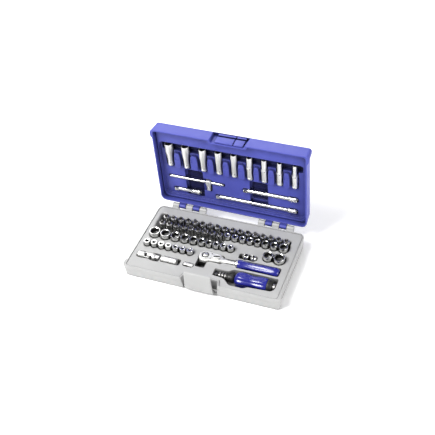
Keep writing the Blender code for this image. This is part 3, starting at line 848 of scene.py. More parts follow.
def make_piece(
    name: str,
    solids: Iterable[Solid],
    finish: Plastic | Plate,
    body: str,
    nodes: Sequence[str] = (),
    matrix: Matrix | None = None,
) -> bpy.types.Object:
    """Turn solids into one finished piece that rides on a body.

    Args:
        name: name of the piece.
        solids: its closed solids.
        finish: what it is made of.
        body: the moving body it belongs to.
        nodes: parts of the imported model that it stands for.
        matrix: its place, in millimetres.

    Returns:
        The piece.
    """
    mesh = bpy.data.meshes.new(name)
    whole = bmesh.new()
    for solid in solids:
        part = bpy.data.meshes.new("part")
        solid.bm.to_mesh(part)
        solid.bm.free()
        whole.from_mesh(part)
        bpy.data.meshes.remove(part)
    bmesh.ops.scale(whole, vec=(MM, MM, MM), verts=whole.verts)
    limit = math.radians(34.0)
    for edge in whole.edges:
        if len(edge.link_faces) == 2 and edge.calc_face_angle(0.0) > limit:
            edge.smooth = False
    whole.to_mesh(mesh)
    whole.free()
    mesh.materials.append(finish.material())
    if any(face.material_index for face in mesh.polygons):
        mesh.materials.append(BROACHED.material())
    piece = bpy.data.objects.new(name, mesh)
    bpy.context.scene.collection.objects.link(piece)
    if matrix is not None:
        rotation = matrix.to_3x3().to_4x4()
        piece.matrix_world = Matrix.Translation(matrix.translation * MM) @ rotation
    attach(piece, body)
    if nodes:
        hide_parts(*nodes)
    LOG.info("%s: %d faces", name, len(mesh.polygons))
    return piece


# --- case --------------------------------------------------------------------------
@dataclass(frozen=True)
class CasePlan:
    """Plan shared by both halves of the case, in millimetres."""

    half_width: float = 137.5
    front: float = -79.0
    back: float = 79.0
    ear: float = 3.0
    ear_length: float = 13.0
    corner: float = 11.0
    notch_half: float = 33.0
    notch_slant: float = 4.0
    draft: float = 1.8
    wall: float = 2.4
    height: float = 27.3
    knuckle_radius: float = 4.5
    knuckle_width: float = 12.4
    knuckle_pitch: float = 13.2
    hinge_groups: tuple[float, float] = (-82.0, 82.0)

    def outline(self, inset: float, ear: float, notch_back: float,
                notch_half: float | None = None) -> list[Point]:
        """Plan at one height.

        Args:
            inset: how far inside the rim's outer line.
            ear: how far the front band stands out at each side.
            notch_back: back wall of the latch recess.
            notch_half: half its width, where it isn't the full width.

        Returns:
            The plan, counter-clockwise, always with the same number of points.
        """
        side = self.half_width - inset
        front = self.front + inset
        back = self.back - inset
        notch = (self.notch_half if notch_half is None else notch_half) + inset
        deep = notch_back + inset
        narrow = notch - max(2.5, self.notch_slant * max(0.0, deep - front) / 12.0)
        step = self.front + self.ear_length
        wide = side + ear
        corner = max(2.5, self.corner - inset)
        return rounded([
            (-notch, front, 1.2), (-narrow, deep, 1.5), (narrow, deep, 1.5), (notch, front, 1.2),
            (wide, front, corner), (wide, step, 2.0), (side, step + 4.0, 2.0), (side, back, corner),
            (-side, back, corner), (-side, step + 4.0, 2.0), (-wide, step, 2.0), (-wide, front, corner),
        ])


@dataclass
class Base:
    """Lower half of the case: shell, tray, hinge pins and latch."""

    plan: CasePlan = field(default_factory=CasePlan)
    recess_back: float = -67.0
    floor: float = 2.2
    deck: float = 26.5
    row_floor: float = 9.3
    bit_floor: float = 3.9
    edge: float = 3.0
    band: tuple[float, float] = (16.4, 17.6)
    gap: float = 0.5

    def build(self) -> None:
        """Build and dress every piece of the lower half."""
        self.shell()
        self.tray()
        self.shade_liner()
        for name in ("hinge_pin_left", "hinge_pin_right"):
            self.pin(name)
        self.latch()

    def shell(self) -> None:
        """Outer shell with its knuckles and panelled underside."""
        plan = self.plan
        top = plan.height

        def outer(z: float, inset: float) -> list[Point]:
            """The shell's outer outline.

            Args:
                z: height.
                inset: how far inside its leaning side.

            Returns:
                The outline.
            """
            half = plan.notch_half - 5.0 * (1.0 - z / (top + 1.2))
            lean = plan.draft * (1.0 - z / top)
            return plan.outline(lean + inset, plan.ear, self.recess_back, half)

        solid = Solid()
        foot = [(self.edge * (1 - math.sin(a)), self.edge * (1 - math.cos(a))) for a in quarter(5)]
        low, high = self.band
        levels = foot + [(0.0, low), (0.15, low + 0.3), (0.15, high - 0.3), (0.0, high)]
        levels += [(0.0, top - 1.0), (0.3, top - 0.3), (1.0, top)]
        rings = [solid.flat_loop(outer(z, inset), z) for inset, z in levels]
        inner = [(plan.wall - 0.4, 0.0, top), (plan.wall, 0.0, top - 0.4),
                 (plan.wall + plan.draft, 0.0, self.floor)]
        rings += [solid.flat_loop(plan.outline(inset, ear, self.recess_back), z) for inset, ear,
                  z in inner]
        solid.walls(rings)
        solid.cap(rings[-1])
        pads = [Pocket(circle(x, y, 7.0, 28), 0.0, True, 0.3, 0.2, 0.1) for x in (-110.0, 110.0)
                for y in (-52.0, 52.0)]
        ribs = [
            Pocket(softened(rectangle(x - 1.2, x + 1.2, -40.0, 40.0), 0.6, 3), 0.3, True, 0.15, 0.15, 0.1)
            for x in (-70.0, -35.0, 0.0, 35.0, 70.0)
        ]
        panel = Pocket(
            softened(rectangle(-125.0, 125.0, -60.0, 66.0), 1.0, 20), 0.8, False, 0.3, 0.3, 0.1,
            (*pads, *ribs))
        solid.face(rings[0], 0.0, (panel,))
        knuckles = [
            self.knuckle(group + slot * plan.knuckle_pitch)
            for group in plan.hinge_groups for slot in (-2, 0, 2)]
        make_piece("base_case", [solid.facing_out(), *knuckles], GREY_PLASTIC, "base",
                   ["base_shell"])

    def knuckle(self, x: float) -> Solid:
        """One hinge knuckle on its bracket.

        Args:
            x: its middle along the hinge.

        Returns:
            The knuckle.
        """
        pin = Extent.of("hinge_pin_left").centre
        turns = [math.radians(-70.0 + 250.0 * k / 14) for k in range(15)]
        radius = self.plan.knuckle_radius
        barrel = [(pin.y + radius * math.cos(a), pin.z + radius * math.sin(a)) for a in turns]
        profile = [(78.0, 15.5), *barrel, (78.0, 26.6)]
        half = self.plan.knuckle_width / 2
        return slab(profile, -half, half, 0.5, 0.5).placed(along_x(x, 0.0, 0.0))

    def scallops(self, nodes: Sequence[str], margin: float) -> list[list[Point]]:
        """Round clearances about a row of standing sockets.

        Args:
            nodes: names of the sockets.
            margin: clearance round each.

        Returns:
            A circle round each socket.
        """
        shapes = []
        for node in nodes:
            room = Extent.of(node)
            shapes.append(circle(room.centre.x, room.centre.y, room.size.x / 1.932 + margin, 40))
        return shapes

    def pockets(self) -> tuple[Pocket, ...]:
        """Every seat in the deck.

        Returns:
            The pockets, none touching another.
        """
        metric = [f"metric_socket_{i}" for i in range(1, 11)]
        inch = [f"inch_socket_{i}" for i in range(1, 9)]
        large = ["large_socket_1", "large_socket_2"]
        left = -128.4
        small = [circle(-119.2 + 13.4 * i, -19.9, 8.2, 36) for i in range(7)]
        field_left = [
            *self.scallops(metric, 2.8), seat(left, 34.0, 0.0, 17.5, 6.0),
            seat(left, -114.0, 3.0, 63.5, 6.5),
            seat(-123.0, 9.0, 10.0, 57.6, 6.5), seat(-20.0, 122.2, 42.4, 57.6, 6.5),
            *self.scallops(inch, 2.6), seat(2.6, 123.6, 27.0, 50.0, 6.5),
        ]
        posts = tuple(
            Pocket(circle(room.centre.x, room.centre.y, 3.4, 28), self.row_floor, True, 0.4, 0.4)
            for room in map(Extent.of, metric + inch))
        ratchet = [
            circle(-10.0, -19.8, 13.2, 48), seat(-10.0, 22.5, -29.3, -10.3),
            seat(18.0, 52.0, -25.6, -14.0), seat(46.5, 122.5, -29.9, -9.7),
        ]
        driver = [(15.0, -56.0), (36.0, -58.0), (50.0, -70.0), (74.0, -70.0), (81.0, -65.2),
                  (120.0, -63.2),
                  (125.0, -57.0), (125.0, -33.7), (47.0, -33.7), (40.0, -40.5), (15.0, -40.5)]
        hole = seat(-21.4, -3.6, -45.8, -24.0)
        ratchet.append(hole)
        well = [circle(-10.0, -19.8, 9.4, 40), seat(-19.4, -5.6, -43.6, -24.0, 2.0)]
        ujoint = [seat(-126.8, -84.6, -53.3, -38.7), seat(-101.0, -84.0, -55.0, -37.0),
                  circle(-116.5, -46.0, 8.2)]
        coupler = [seat(-82.3, -46.6, -53.3, -38.7)]
        adapter = [seat(-41.2, -22.2, -51.2, -40.8)]
        holders = [seat(x - 12.0, x + 2.0, -7.6, 4.4) for x in (56.0, 69.6)]
        holders += [circle(x, -1.5, 7.0) for x in (56.0, 69.6)]
        driver_floor = Pocket(seat(54.5, 117.0, -59.5, -37.5, 6.0), 6.0, False, 0.4, 1.6, 0.2)
        return (
            Pocket(softened(merged([*small, seat(left, -31.6, -24.0, -12.2, 5.5)]), 0.7, 3),
                   self.row_floor, edge=2.2,
                   broad=True),
            Pocket(softened(merged(field_left), 0.7, 3), self.bit_floor, inside=posts, edge=2.4,
                   broad=True),
            Pocket(softened(merged([*self.scallops(large, 2.6), seat(82.0, 125.0, -1.0, 17.5, 6.5)]),
                            0.7, 3),
                   self.row_floor, edge=2.2, broad=True),
            Pocket(softened(merged(ratchet), 0.8, 5), 13.5,
                   inside=(Pocket(softened(merged(well), 0.7, 3), 5.2),)),
            Pocket(softened(merged([driver]), 0.8, 8), 12.4, inside=(driver_floor,), foot=1.2),
            Pocket(softened(merged(ujoint), 0.7, 4), 17.8),
            Pocket(softened(merged(coupler), 0.7, 5), 17.8),
            Pocket(softened(merged(adapter), 0.7, 5), 20.4),
            Pocket(softened(merged(holders), 0.7, 3), self.row_floor),
        )

    def tray(self) -> None:
        """Moulded tray with every seat."""
        plan = self.plan
        inset = plan.wall + self.gap

        def line(grow: float) -> list[Point]:
            """The tray's outline, so far inside its upper edge."""
            return plan.outline(inset + grow, 0.0, self.recess_back)

        solid = Solid()
        levels = [(plan.draft, self.floor + 0.4), (0.1, self.deck - 0.5), (0.2, self.deck - 0.12),
                  (0.45, self.deck)]
        rings = [solid.flat_loop(line(grow), z) for grow, z in levels]
        solid.walls(rings)
        solid.cap(rings[0])
        solid.face(rings[-1], self.deck, self.pockets())
        make_piece("base_insert", [solid.facing_out()], GREY_PLASTIC, "base", ["base_tray"])

    def shade_liner(self) -> None:
        """Black cup on the walls and floor of the finger hole, painted shade that makes the hole dark."""
        outline = seat(-19.0, -6.0, -43.2, -33.2, 2.0)
        rings = [(0.0, 5.3), (0.0, 13.3), (1.0, 14.2), (1.0, 24.6), (0.5, 24.8), (0.5, 14.6),
                 (-0.5, 13.6), (-0.5, 6.2)]
        solid = Solid()
        loops = [solid.flat_loop(grown(outline, offset), z) for offset, z in rings]
        solid.walls(loops)
        solid.cap(loops[0])
        solid.cap(loops[-1])
        make_piece("finger_hole_shade_liner", [solid.facing_out()], BLACK_GRIP, "base")

    def pin(self, name: str) -> None:
        """Hinge pin with domed ends.

        Args:
            name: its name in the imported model.
        """
        room = Extent.of(name)
        length = room.size.x
        radius = 1.5
        profile = [(radius - 0.8, 0.0), (radius - 0.2, 0.3), (radius, 0.8), (radius, length - 0.8),
                   (radius - 0.2, length - 0.3), (radius - 0.8, length)]
        place = along_x(room.low.x, room.centre.y, room.centre.z)
        make_piece(name + "_steel", [turned(profile, 24)], TOOL_STEEL, "base", [name], place)

    def latch(self) -> None:
        """Pull latch with its hook, finger ribs and trunnions."""
        profile = rounded([
            (-81.6, 7.0, 2.0), (-82.3, 14.0, 3.0), (-81.0, 30.0, 4.0), (-79.6, 44.0, 2.0),
            (-78.4, 47.4, 1.2),
            (-75.6, 48.0, 0.6), (-74.8, 47.4, 0.6), (-74.4, 45.4, 0.4), (-77.0, 44.9, 0.6),
            (-77.8, 30.0, 4.0),
            (-78.6, 14.0, 2.0), (-75.5, 9.6, 1.5), (-72.4, 8.0, 1.0), (-71.8, 4.4, 1.5),
            (-75.0, 2.0, 1.8),
            (-78.4, 2.7, 1.5),
        ], 3)[::-1]
        wide, narrow, top = 25.0, 23.6, 48.0

        def flared(spot: Vector) -> Vector:
            """Narrow the panel towards its top."""
            share = (wide + (narrow - wide) * spot.z / top) / wide
            return Vector((spot.x * share, spot.y, spot.z))

        panel = slab(profile, -wide, wide, 0.7, 0.7).placed(along_x(0.0, 0.0, 0.0)).bent(flared)
        ribs = []
        for height in (36.5, 39.3, 42.1):
            crest = -80.55 + (height - 30.0) * 0.09
            line = [(crest + 1.4, height - 0.8), (crest + 1.4, height + 0.8), (crest, height)]
            ribs.append(slab(line, -15.5, 15.5, 0.2, 0.2).placed(along_x(0.0, 0.0, 0.0)))
        trunnion = turned([(1.3, -29.0), (1.7, -28.5), (1.7, 28.5), (1.3, 29.0)], 24)
        trunnion.placed(along_x(0.0, -75.0, 6.0))
        pivot = Vector((0.0, -75.0, 6.0))
        tilt = Matrix.Rotation(math.radians(6.0), 4, "X")
        turn = Matrix.Translation(pivot) @ tilt @ Matrix.Translation(-pivot)
        solids = [solid.placed(turn) for solid in (panel, *ribs, trunnion)]
        make_piece("front_latch", solids, GREY_PLASTIC, "latch", ["latch"])


@dataclass
class Lid:
    """Upper half of the case, built lying closed and then stood open."""

    plan: CasePlan = field(default_factory=CasePlan)
    rim: float = 0.2
    outer: float = 27.5
    recess_back: float = -73.5
    recess_end: float = 25.3
    land: float = 9.0
    face: float = 15.0
    deep: float = 23.0
    edge: float = 2.2
    ledge: float = 0.25
    catch: tuple[float, float] = (-76.4, -73.2)
    catch_columns: tuple[tuple[float, float], ...] = ((-22.0, 9.6), (11.2, 28.0))
    catch_rows: tuple[tuple[float, float], ...] = ((2.4, 16.8), (20.9, 24.8))
    wells: tuple[tuple[float, float, float, float], ...] = (
        (-88.0, -58.0, 10.0, 64.0), (33.0, 62.0, 10.0, 51.0))

    def __post_init__(self) -> None:
        """Find the hinge."""
        self.hinge = Extent.of("hinge_pin_left").centre

    @property
    def matrix(self) -> Matrix:
        """Place of a piece built closed: hinge line at the origin, depth along Z."""
        turn = Matrix.Rotation(math.radians(-90.0), 4, "X")
        return Matrix.Translation((0.0, self.hinge.y, self.hinge.z)) @ turn

    def from_hinge(self, outline: Iterable[Point]) -> list[Point]:
        """Shift a plan so that the hinge line is at zero."""
        return [(x, y - self.hinge.y) for x, y in outline]

    def build(self) -> None:
        """Build and dress the shell and its tray."""
        self.shell()
        self.tray()
        for name, well in zip(("left", "right"), self.wells):
            self.shade_pad(name, well)

    def shade_pad(self, name: str, well: tuple[float, float, float, float]) -> None:
        """Dark ribbed sheet on the floor of a finger well, laid there as painted shade.

        Args:
            name: which side it is on.
            well: the sides of the well.
        """
        x0, x1, y0, y1 = well
        plan = self.from_hinge(seat(x0 + 1.4, x1 - 1.4, y0 + 1.4, y1 - 1.4, 2.5))
        solid = Solid()
        rings = [solid.flat_loop(plan, self.deep + 0.1), solid.flat_loop(plan, self.deep - 0.5),
                 solid.flat_loop(grown(plan, -0.3), self.deep - 0.7)]
        solid.walls(rings)
        solid.cap(rings[0])
        count = round((y1 - y0 - 8.0) / 5.0)
        ribs = [
            Pocket(self.from_hinge(seat(x0 + 4.0, x1 - 4.0, y0 + 5.0 + 5.0 * k, y0 + 7.0 + 5.0 * k, 0.8)),
                   self.deep - 1.2, True, 0.3, 0.2, 0.05) for k in range(count)]
        solid.face(rings[-1], self.deep - 0.7, ribs)
        make_piece(f"finger_well_shade_pad_{name}", [solid.facing_out()], SHADE_PAD, "lid", (),
                   self.matrix)

    def shell(self) -> None:
        """Outer shell with its latch recess, catch bar, knuckles and panelled face."""
        plan = self.plan

        def outer(v: float, inset: float, notch_back: float) -> list[Point]:
            """The shell's outer outline at one depth, with or without its latch recess.

            Args:
                v: depth from the rim plane.
                inset: how far inside its leaning side.
                notch_back: how far back the recess goes.

            Returns:
                The outline.
            """
            lean = plan.draft * (v - self.rim) / (self.outer - self.rim)
            return self.from_hinge(plan.outline(lean + inset, plan.ear, notch_back,
                                                plan.notch_half - 2.0))

        solid = Solid()
        steps = quarter(5)
        levels = [(1.0, self.rim, self.recess_back), (0.3, self.rim + 0.3, self.recess_back),
                  (0.0, self.rim + 1.0, self.recess_back), (self.ledge, self.recess_end, self.recess_back),
                  (self.ledge, self.recess_end, plan.front)]
        edge = self.edge
        levels += [(edge * (1 - math.cos(a)), self.outer - edge + edge * math.sin(a), plan.front)
                   for a in steps[1:]]
        rings = [solid.flat_loop(outer(v, inset, back), v) for inset, v, back in levels]
        inner = [(plan.wall + plan.draft, self.outer - edge), (plan.wall, self.rim + 0.4),
                 (plan.wall - 0.4, self.rim)]
        inward = [
            solid.flat_loop(self.from_hinge(plan.outline(inset, 0.0, self.recess_back)), v)
            for inset, v in inner]
        solid.walls([*inward, *rings])
        solid.cap(inward[0])
        low = self.outer - 0.8
        field_plan = self.from_hinge(seat(-58.0, 58.0, -24.0, 26.0, 6.0))
        label = Pocket(self.from_hinge(seat(-54.0, 54.0, -20.0, 22.0, 4.0)), low, False, 0.15, 0.15, 0.05)
        raised = [Pocket(field_plan, low + 0.45, True, 0.2, 0.2, 0.1, (label,))]
        raised += [
            Pocket(self.from_hinge(seat(side * 90.0 - 20.0, side * 90.0 + 20.0, y - 1.6, y + 1.6, 1.4)),
                   low + 0.5, True, 0.2, 0.2, 0.1)
            for side in (-1, 1) for y in (-40.0, -24.0, -8.0, 8.0, 24.0, 40.0)]
        panel = Pocket(self.from_hinge(seat(-120.0, 120.0, -58.0, 60.0, 12.0)), low, False, 0.4, 0.3,
                       0.1, tuple(raised))
        solid.face(rings[-1], self.outer, (panel,))
        low, high = (y - self.hinge.y for y in self.catch)
        bars = [
            block(x0, x1, low, high, v0, v1, 0.5)
            for x0, x1 in self.catch_columns for v0, v1 in self.catch_rows]
        knuckles = [
            self.knuckle(group + slot * plan.knuckle_pitch)
            for group in plan.hinge_groups for slot in (-1, 1)]
        solids = [solid.facing_out(), *bars, *knuckles]
        make_piece("lid_case", solids, BLUE_PLASTIC, "lid", ["lid_shell"], self.matrix)

    def knuckle(self, x: float) -> Solid:
        """One hinge knuckle on its bracket.

        Args:
            x: its middle along the hinge.

        Returns:
            The knuckle.
        """
        turns = [math.radians(180.0 + 250.0 * k / 14) for k in range(15)]
        radius, half = self.plan.knuckle_radius, self.plan.knuckle_width / 2
        barrel = [(radius * math.cos(a), radius * math.sin(a)) for a in turns]
        profile = [(-8.0, 0.6), *barrel, (-8.0, 11.0)]
        return slab(profile, -half, half, 0.5, 0.5).placed(along_x(x, 0.0, 0.0))

    def pockets(self) -> tuple[Pocket, ...]:
        """Everything sunk in, or standing on, the tray's face.

        Returns:
            The pockets and humps, none touching another.
        """
        deep = [Extent.of(f"deep_socket_{i}") for i in range(1, 10)]
        shapes = [seat(-127.0, 127.0, -46.8, -31.0)]
        for room in deep:
            half = max(room.size.x / 2, 5.3) + 1.0
            shapes.append(seat(room.centre.x - half, room.centre.x + half, -40.0, 5.0))
        trench = Pocket(
            self.from_hinge(softened(merged(shapes), 0.7, 3)), 23.0,
            inside=(Pocket(self.from_hinge(seat(-125.0, 125.0, -45.0, -33.0)), 24.2),))
        humps = []
        for before, after in zip(deep, deep[1:]):
            x = (before.centre.x + after.centre.x) / 2
            room = (after.centre.x - before.centre.x) / 2 - max(before.size.x, after.size.x, 10.6) / 2
            half = min(6.6, room - 2.9)
            plan = rounded([(x - half, 2.5, 2.5), (x - half, -18.0, 4.0),
                            (x - half * 0.7, -28.6, half * 0.5),
                            (x + half * 0.7, -28.6, half * 0.5), (x + half, -18.0, 4.0),
                            (x + half, 2.5, 2.5)], 6)
            plate = Pocket(self.from_hinge(seat(x - half + 1.8, x + half - 1.8, -20.5, -14.0, 1.2)),
                           self.land + 0.6, False, 0.2, 0.2, 0.05)
            humps.append(Pocket(self.from_hinge(plan), self.land, True, 0.8, 0.5, 0.3, (plate,)))
        left = [
            seat(-122.6, -15.4, 25.8, 33.0), seat(-60.2, -40.2, 22.5, 49.4),
            seat(-90.0, -56.0, 8.0, 66.0),
            seat(-115.4, -62.6, 53.2, 61.6), seat(-80.6, -62.6, 51.7, 63.1),
        ]
        right = [
            seat(31.0, 64.0, 8.0, 66.0), seat(17.6, 118.4, 27.2, 35.6), seat(100.6, 118.4, 25.7, 37.1),
            seat(-35.4, 117.4, 54.2, 62.6), seat(99.6, 117.4, 52.7, 64.1),
        ]
        left_finger = Pocket(self.from_hinge(seat(*self.wells[0])), self.deep)
        right_finger = Pocket(self.from_hinge(seat(*self.wells[1])), self.deep)
        return (
            trench, *humps,
            Pocket(self.from_hinge(softened(merged(left), 0.7, 3)), 20.4, inside=(left_finger,)),
            Pocket(self.from_hinge(softened(merged(right), 0.7, 3)), 20.4, inside=(right_finger,)),
        )

    def tray(self) -> None:
        """Moulded tray with its land, steps, humps, grooves and finger pockets."""
        plan = self.plan
        inset = plan.wall + 0.9

        def line(grow: float, v: float) -> list[Point]:
            """The tray's outline at one depth."""
            lean = plan.draft * v / self.outer
            return self.from_hinge(plan.outline(inset + lean + grow, 0.0, self.recess_back))

        solid = Solid()
        levels = [(0.0, 24.9), (0.0, self.land + 0.6), (0.2, self.land + 0.15), (0.6, self.land)]
        rings = [solid.flat_loop(line(grow, v), v) for grow, v in levels]
        solid.walls(rings)
        solid.cap(rings[0])
        low_step = Pocket(
            self.from_hinge(seat(-130.4, 130.4, -49.0, 69.2, 9.0)), self.face, False, 0.5, 0.8,
            0.2, self.pockets())
        step = Pocket(
            self.from_hinge(seat(-131.8, 131.8, -50.6, 71.6, 10.0)), 12.2, False, 0.5, 0.3, 0.1,
            (low_step,))
        solid.face(rings[-1], self.land, (step,))
        make_piece("lid_insert", [solid.facing_out()], BLUE_PLASTIC, "lid", ["lid_tray"],
                   self.matrix)


# --- sockets, bits and bars -----------------------------------------------------------
@dataclass(frozen=True)
class SocketShape:
    """Turned outside and broached inside of one socket, in millimetres.

    Attributes:
        length: from the drive end to the hexagon's face.
        foot: radius of the drive end.
        head: radius of the hexagon end.
        shoulder: heights between which the foot widens or narrows to the head.
        size: hexagon across flats.
        drive: square across flats.
        groove: height of the turned ring groove.
    """

    length: float
    foot: float
    head: float
    shoulder: tuple[float, float]
    size: float
    drive: float = 6.35
    groove: float = 5.0

    def solid(self) -> Solid:
        """The socket standing on its drive end.

        Returns:
            The socket.
        """
        low, high = self.shoulder
        face = self.length
        mouth = min(self.size / math.sqrt(3.0) + 0.25, self.head - 0.35)
        bowl = face - min(3.5 + self.size * 0.4, face * 0.45)
        ring = [(self.foot - 0.5, 0.0), (self.foot - 0.15, 0.15), (self.foot, 0.5),
                (self.foot, self.groove - 0.7),
                (self.foot - 0.3, self.groove - 0.4), (self.foot - 0.3, self.groove + 0.4),
                (self.foot, self.groove + 0.7), (self.foot, low), (self.head, high),
                (self.head, face - 0.7),
                (self.head - 0.1, face - 0.25), (self.head - 0.3, face)]
        rings = [polygon_ring(4, self.drive, 0.7), round_ring(self.drive / 2 * 1.42, 0.0)]
        rings += [round_ring(radius, z) for radius, z in ring]
        rings += [round_ring(mouth, face)]
        bore = len(rings)
        rings += [chamfer_ring(6, self.size, mouth, face)]
        rings += [polygon_ring(6, self.size, bowl),
                  polygon_ring(6, self.size * 0.55, bowl - self.size * 0.18)]
        square = min(self.drive, self.size * 0.55)
        rings += [polygon_ring(4, square * 0.95, bowl - self.size * 0.18 - 0.6),
                  polygon_ring(4, self.drive * 0.99, 9.0)]
        return Solid().stack(rings, True, bore).facing_out()


@dataclass
class StandingSockets:
    """Short sockets standing in the base."""

    height: float = 25.0
    foot: float = 5.6
    metric: tuple[float, ...] = (14.0, 13.0, 12.0, 11.0, 10.0, 9.0, 8.0, 7.0, 6.0, 5.5)
    inch: tuple[float, ...] = (4.8, 5.6, 6.35, 7.1, 7.9, 8.7, 9.5, 11.1)
    large: tuple[float, ...] = (12.7, 14.3)
    small: float = 5.8
    small_count: int = 7

    def build(self) -> None:
        """Build every standing socket at its own place."""
        for family, sizes in (("metric", self.metric), ("inch", self.inch), ("large", self.large)):
            for i, size in enumerate(sizes, 1):
                node = f"{family}_socket_{i}"
                room = Extent.of(node)
                head = max(self.foot, size * 0.635 + 0.6)
                shape = SocketShape(self.height, self.foot, head, (11.0, 13.5), size)
                spot = Matrix.Translation((room.centre.x, room.centre.y, room.low.z))
                turn = Matrix.Rotation(0.7 * i, 4, "Z")
                make_piece(f"{family}_short_{i}", [shape.solid()], POLISHED, node, [node],
                           spot @ turn)
        self.small_row()

    def small_row(self) -> None:
        """The smallest sockets, each its own piece."""
        room = Extent.of("small_socket_row")
        first = room.low.x + self.foot * math.cos(math.radians(15.0))
        last = room.high.x - self.foot * math.cos(math.radians(15.0))
        for i in range(self.small_count):
            x = first + (last - first) * i / (self.small_count - 1)
            shape = SocketShape(self.height, self.foot, self.foot, (11.0, 13.5), self.small - 0.25 * i)
            spot = Matrix.Translation((x, room.centre.y, room.low.z)) @ Matrix.Rotation(0.5 * i, 4, "Z")
            make_piece(f"small_short_{i + 1}", [shape.solid()], POLISHED, "small_socket_row",
                       ["small_socket_row"], spot)


class Tip(enum.Enum):
    """Shapes of bit tips."""

    SLOTTED = "slotted"
    CROSS = "cross"
    HEX = "hex"
    STAR = "star"
    SQUARE = "square"


@dataclass
class BitRows:
    """Bit sockets standing along the back of the base."""

    body_radius: float = 5.4
    body_height: float = 27.0
    tip_radius: float = 3.2
    sides: int = 48
    rows: tuple[tuple[str, int], ...] = (("bit_row_middle", 9), ("bit_row_back", 17))

    def build(self) -> None:
        """Build each body and each bit of both rows."""
        order = (Tip.CROSS, Tip.CROSS, Tip.SLOTTED, Tip.SLOTTED, Tip.HEX, Tip.STAR, Tip.STAR, Tip.SQUARE)
        for row, count in self.rows:
            room = Extent.of(row)
            reach = self.body_radius * 0.924
            for i in range(count):
                x = room.low.x + reach + (room.size.x - 2 * reach) * i / (count - 1)
                spot = Matrix.Translation((x, room.centre.y, room.low.z)) @ Matrix.Rotation(0.6 * i, 4,
                    "Z")
                share = 0.62 + 0.38 * ((i * 5) % 8) / 7
                name = row.replace("_row", "") + f"_{i + 1}"
                make_piece(name + "_body", [self.body()], POLISHED, row, [row], spot)
                tip = self.tip(order[i % len(order)], room.size.z, share)
                make_piece(name + "_tip", [tip], TOOL_STEEL, row, [row], spot)

    def body(self) -> Solid:
        """Turned body with its ring groove and open mouth.

        Returns:
            The body.
        """
        radius, top = self.body_radius, self.body_height
        profile = [(radius - 0.5, 0.0), (radius, 0.5), (radius, 5.0), (radius - 0.3, 5.3),
                   (radius - 0.3, 6.1),
                   (radius, 6.4), (radius, top - 0.8), (radius - 0.3, top - 0.2), (radius - 0.9, top),
                   (self.tip_radius + 0.5, top), (self.tip_radius + 0.2, top - 0.6),
                   (self.tip_radius + 0.2, 9.0),
                   (radius - 0.9, 8.4), (radius - 0.9, 0.0)]
        return turned(profile, 40, closed=True)

    def tip(self, kind: Tip, top: float, share: float) -> Solid:
        """One hardened bit.

        Args:
            kind: shape of its end.
            top: height of its end.
            share: width of its end, as a share of the shank's.

        Returns:
            The bit, standing in its body.
        """
        shank = self.tip_radius
        end = shank * share
        low = self.body_height
        neck = top - 6.5

        def ring(z: float, radius: float, form: float) -> list[Point3]:
            """One ring of the bit.

            Args:
                z: height.
                radius: its reach.
                form: from 0, round, to 1, the shape of the end.

            Returns:
                The ring.
            """
            points = []
            for i in range(self.sides):
                turn = 2 * math.pi * i / self.sides
                reach = radius
                if kind is Tip.HEX:
                    reach = radius * (1 - 0.134 * form * (1 - abs(math.cos(3 * turn))))
                elif kind is Tip.STAR:
                    reach = radius * (1 - 0.24 * form * (0.5 - 0.5 * math.cos(6 * turn)))
                elif kind is Tip.CROSS:
                    reach = radius * (1 - 0.58 * form * (0.5 - 0.5 * math.cos(4 * turn)) ** 0.6)
                elif kind is Tip.SQUARE:
                    reach = radius * (1 - form + form * polygon_reach(4, 1.42, turn))
                x, y = reach * math.cos(turn), reach * math.sin(turn)
                if kind is Tip.SLOTTED:
                    y = max(-1, min(1, y / radius)) * (radius * (1 - form) + 0.5 * form)
                points.append((x, y, z))
            return points

        rings = [ring(7.0, shank, 0.0), ring(low + 2.0, shank, 0.0), ring(low + 2.6, shank - 0.15, 0.0),
                 ring(neck - 1.0, shank * (0.4 + 0.6 * share), 0.0), ring(neck, end, 0.25),
                 ring(neck + 0.8, end, 1.0),
                 ring(top - 1.2, end * 0.96, 1.0)]
        point = 0.35 if kind is Tip.CROSS else 0.86
        rings.append(ring(top, end * point, 1.0))
        return Solid().stack(rings).facing_out()


def detent_ball(x: float, y: float, z: float) -> Solid:
    """The ball that stands out of a square drive's front side.

    Args:
        x: its middle along the hinge.
        y: its middle from front to back.
        z: its height.

    Returns:
        The ball.
    """
    ball = turned([(0.2, -1.1), (0.8, -0.8), (1.1, 0.0), (0.8, 0.6), (0.2, 0.85)], 20)
    return ball.placed(Matrix.Translation((x, y, z)) @ Matrix.Rotation(math.pi / 2, 4, "X"))


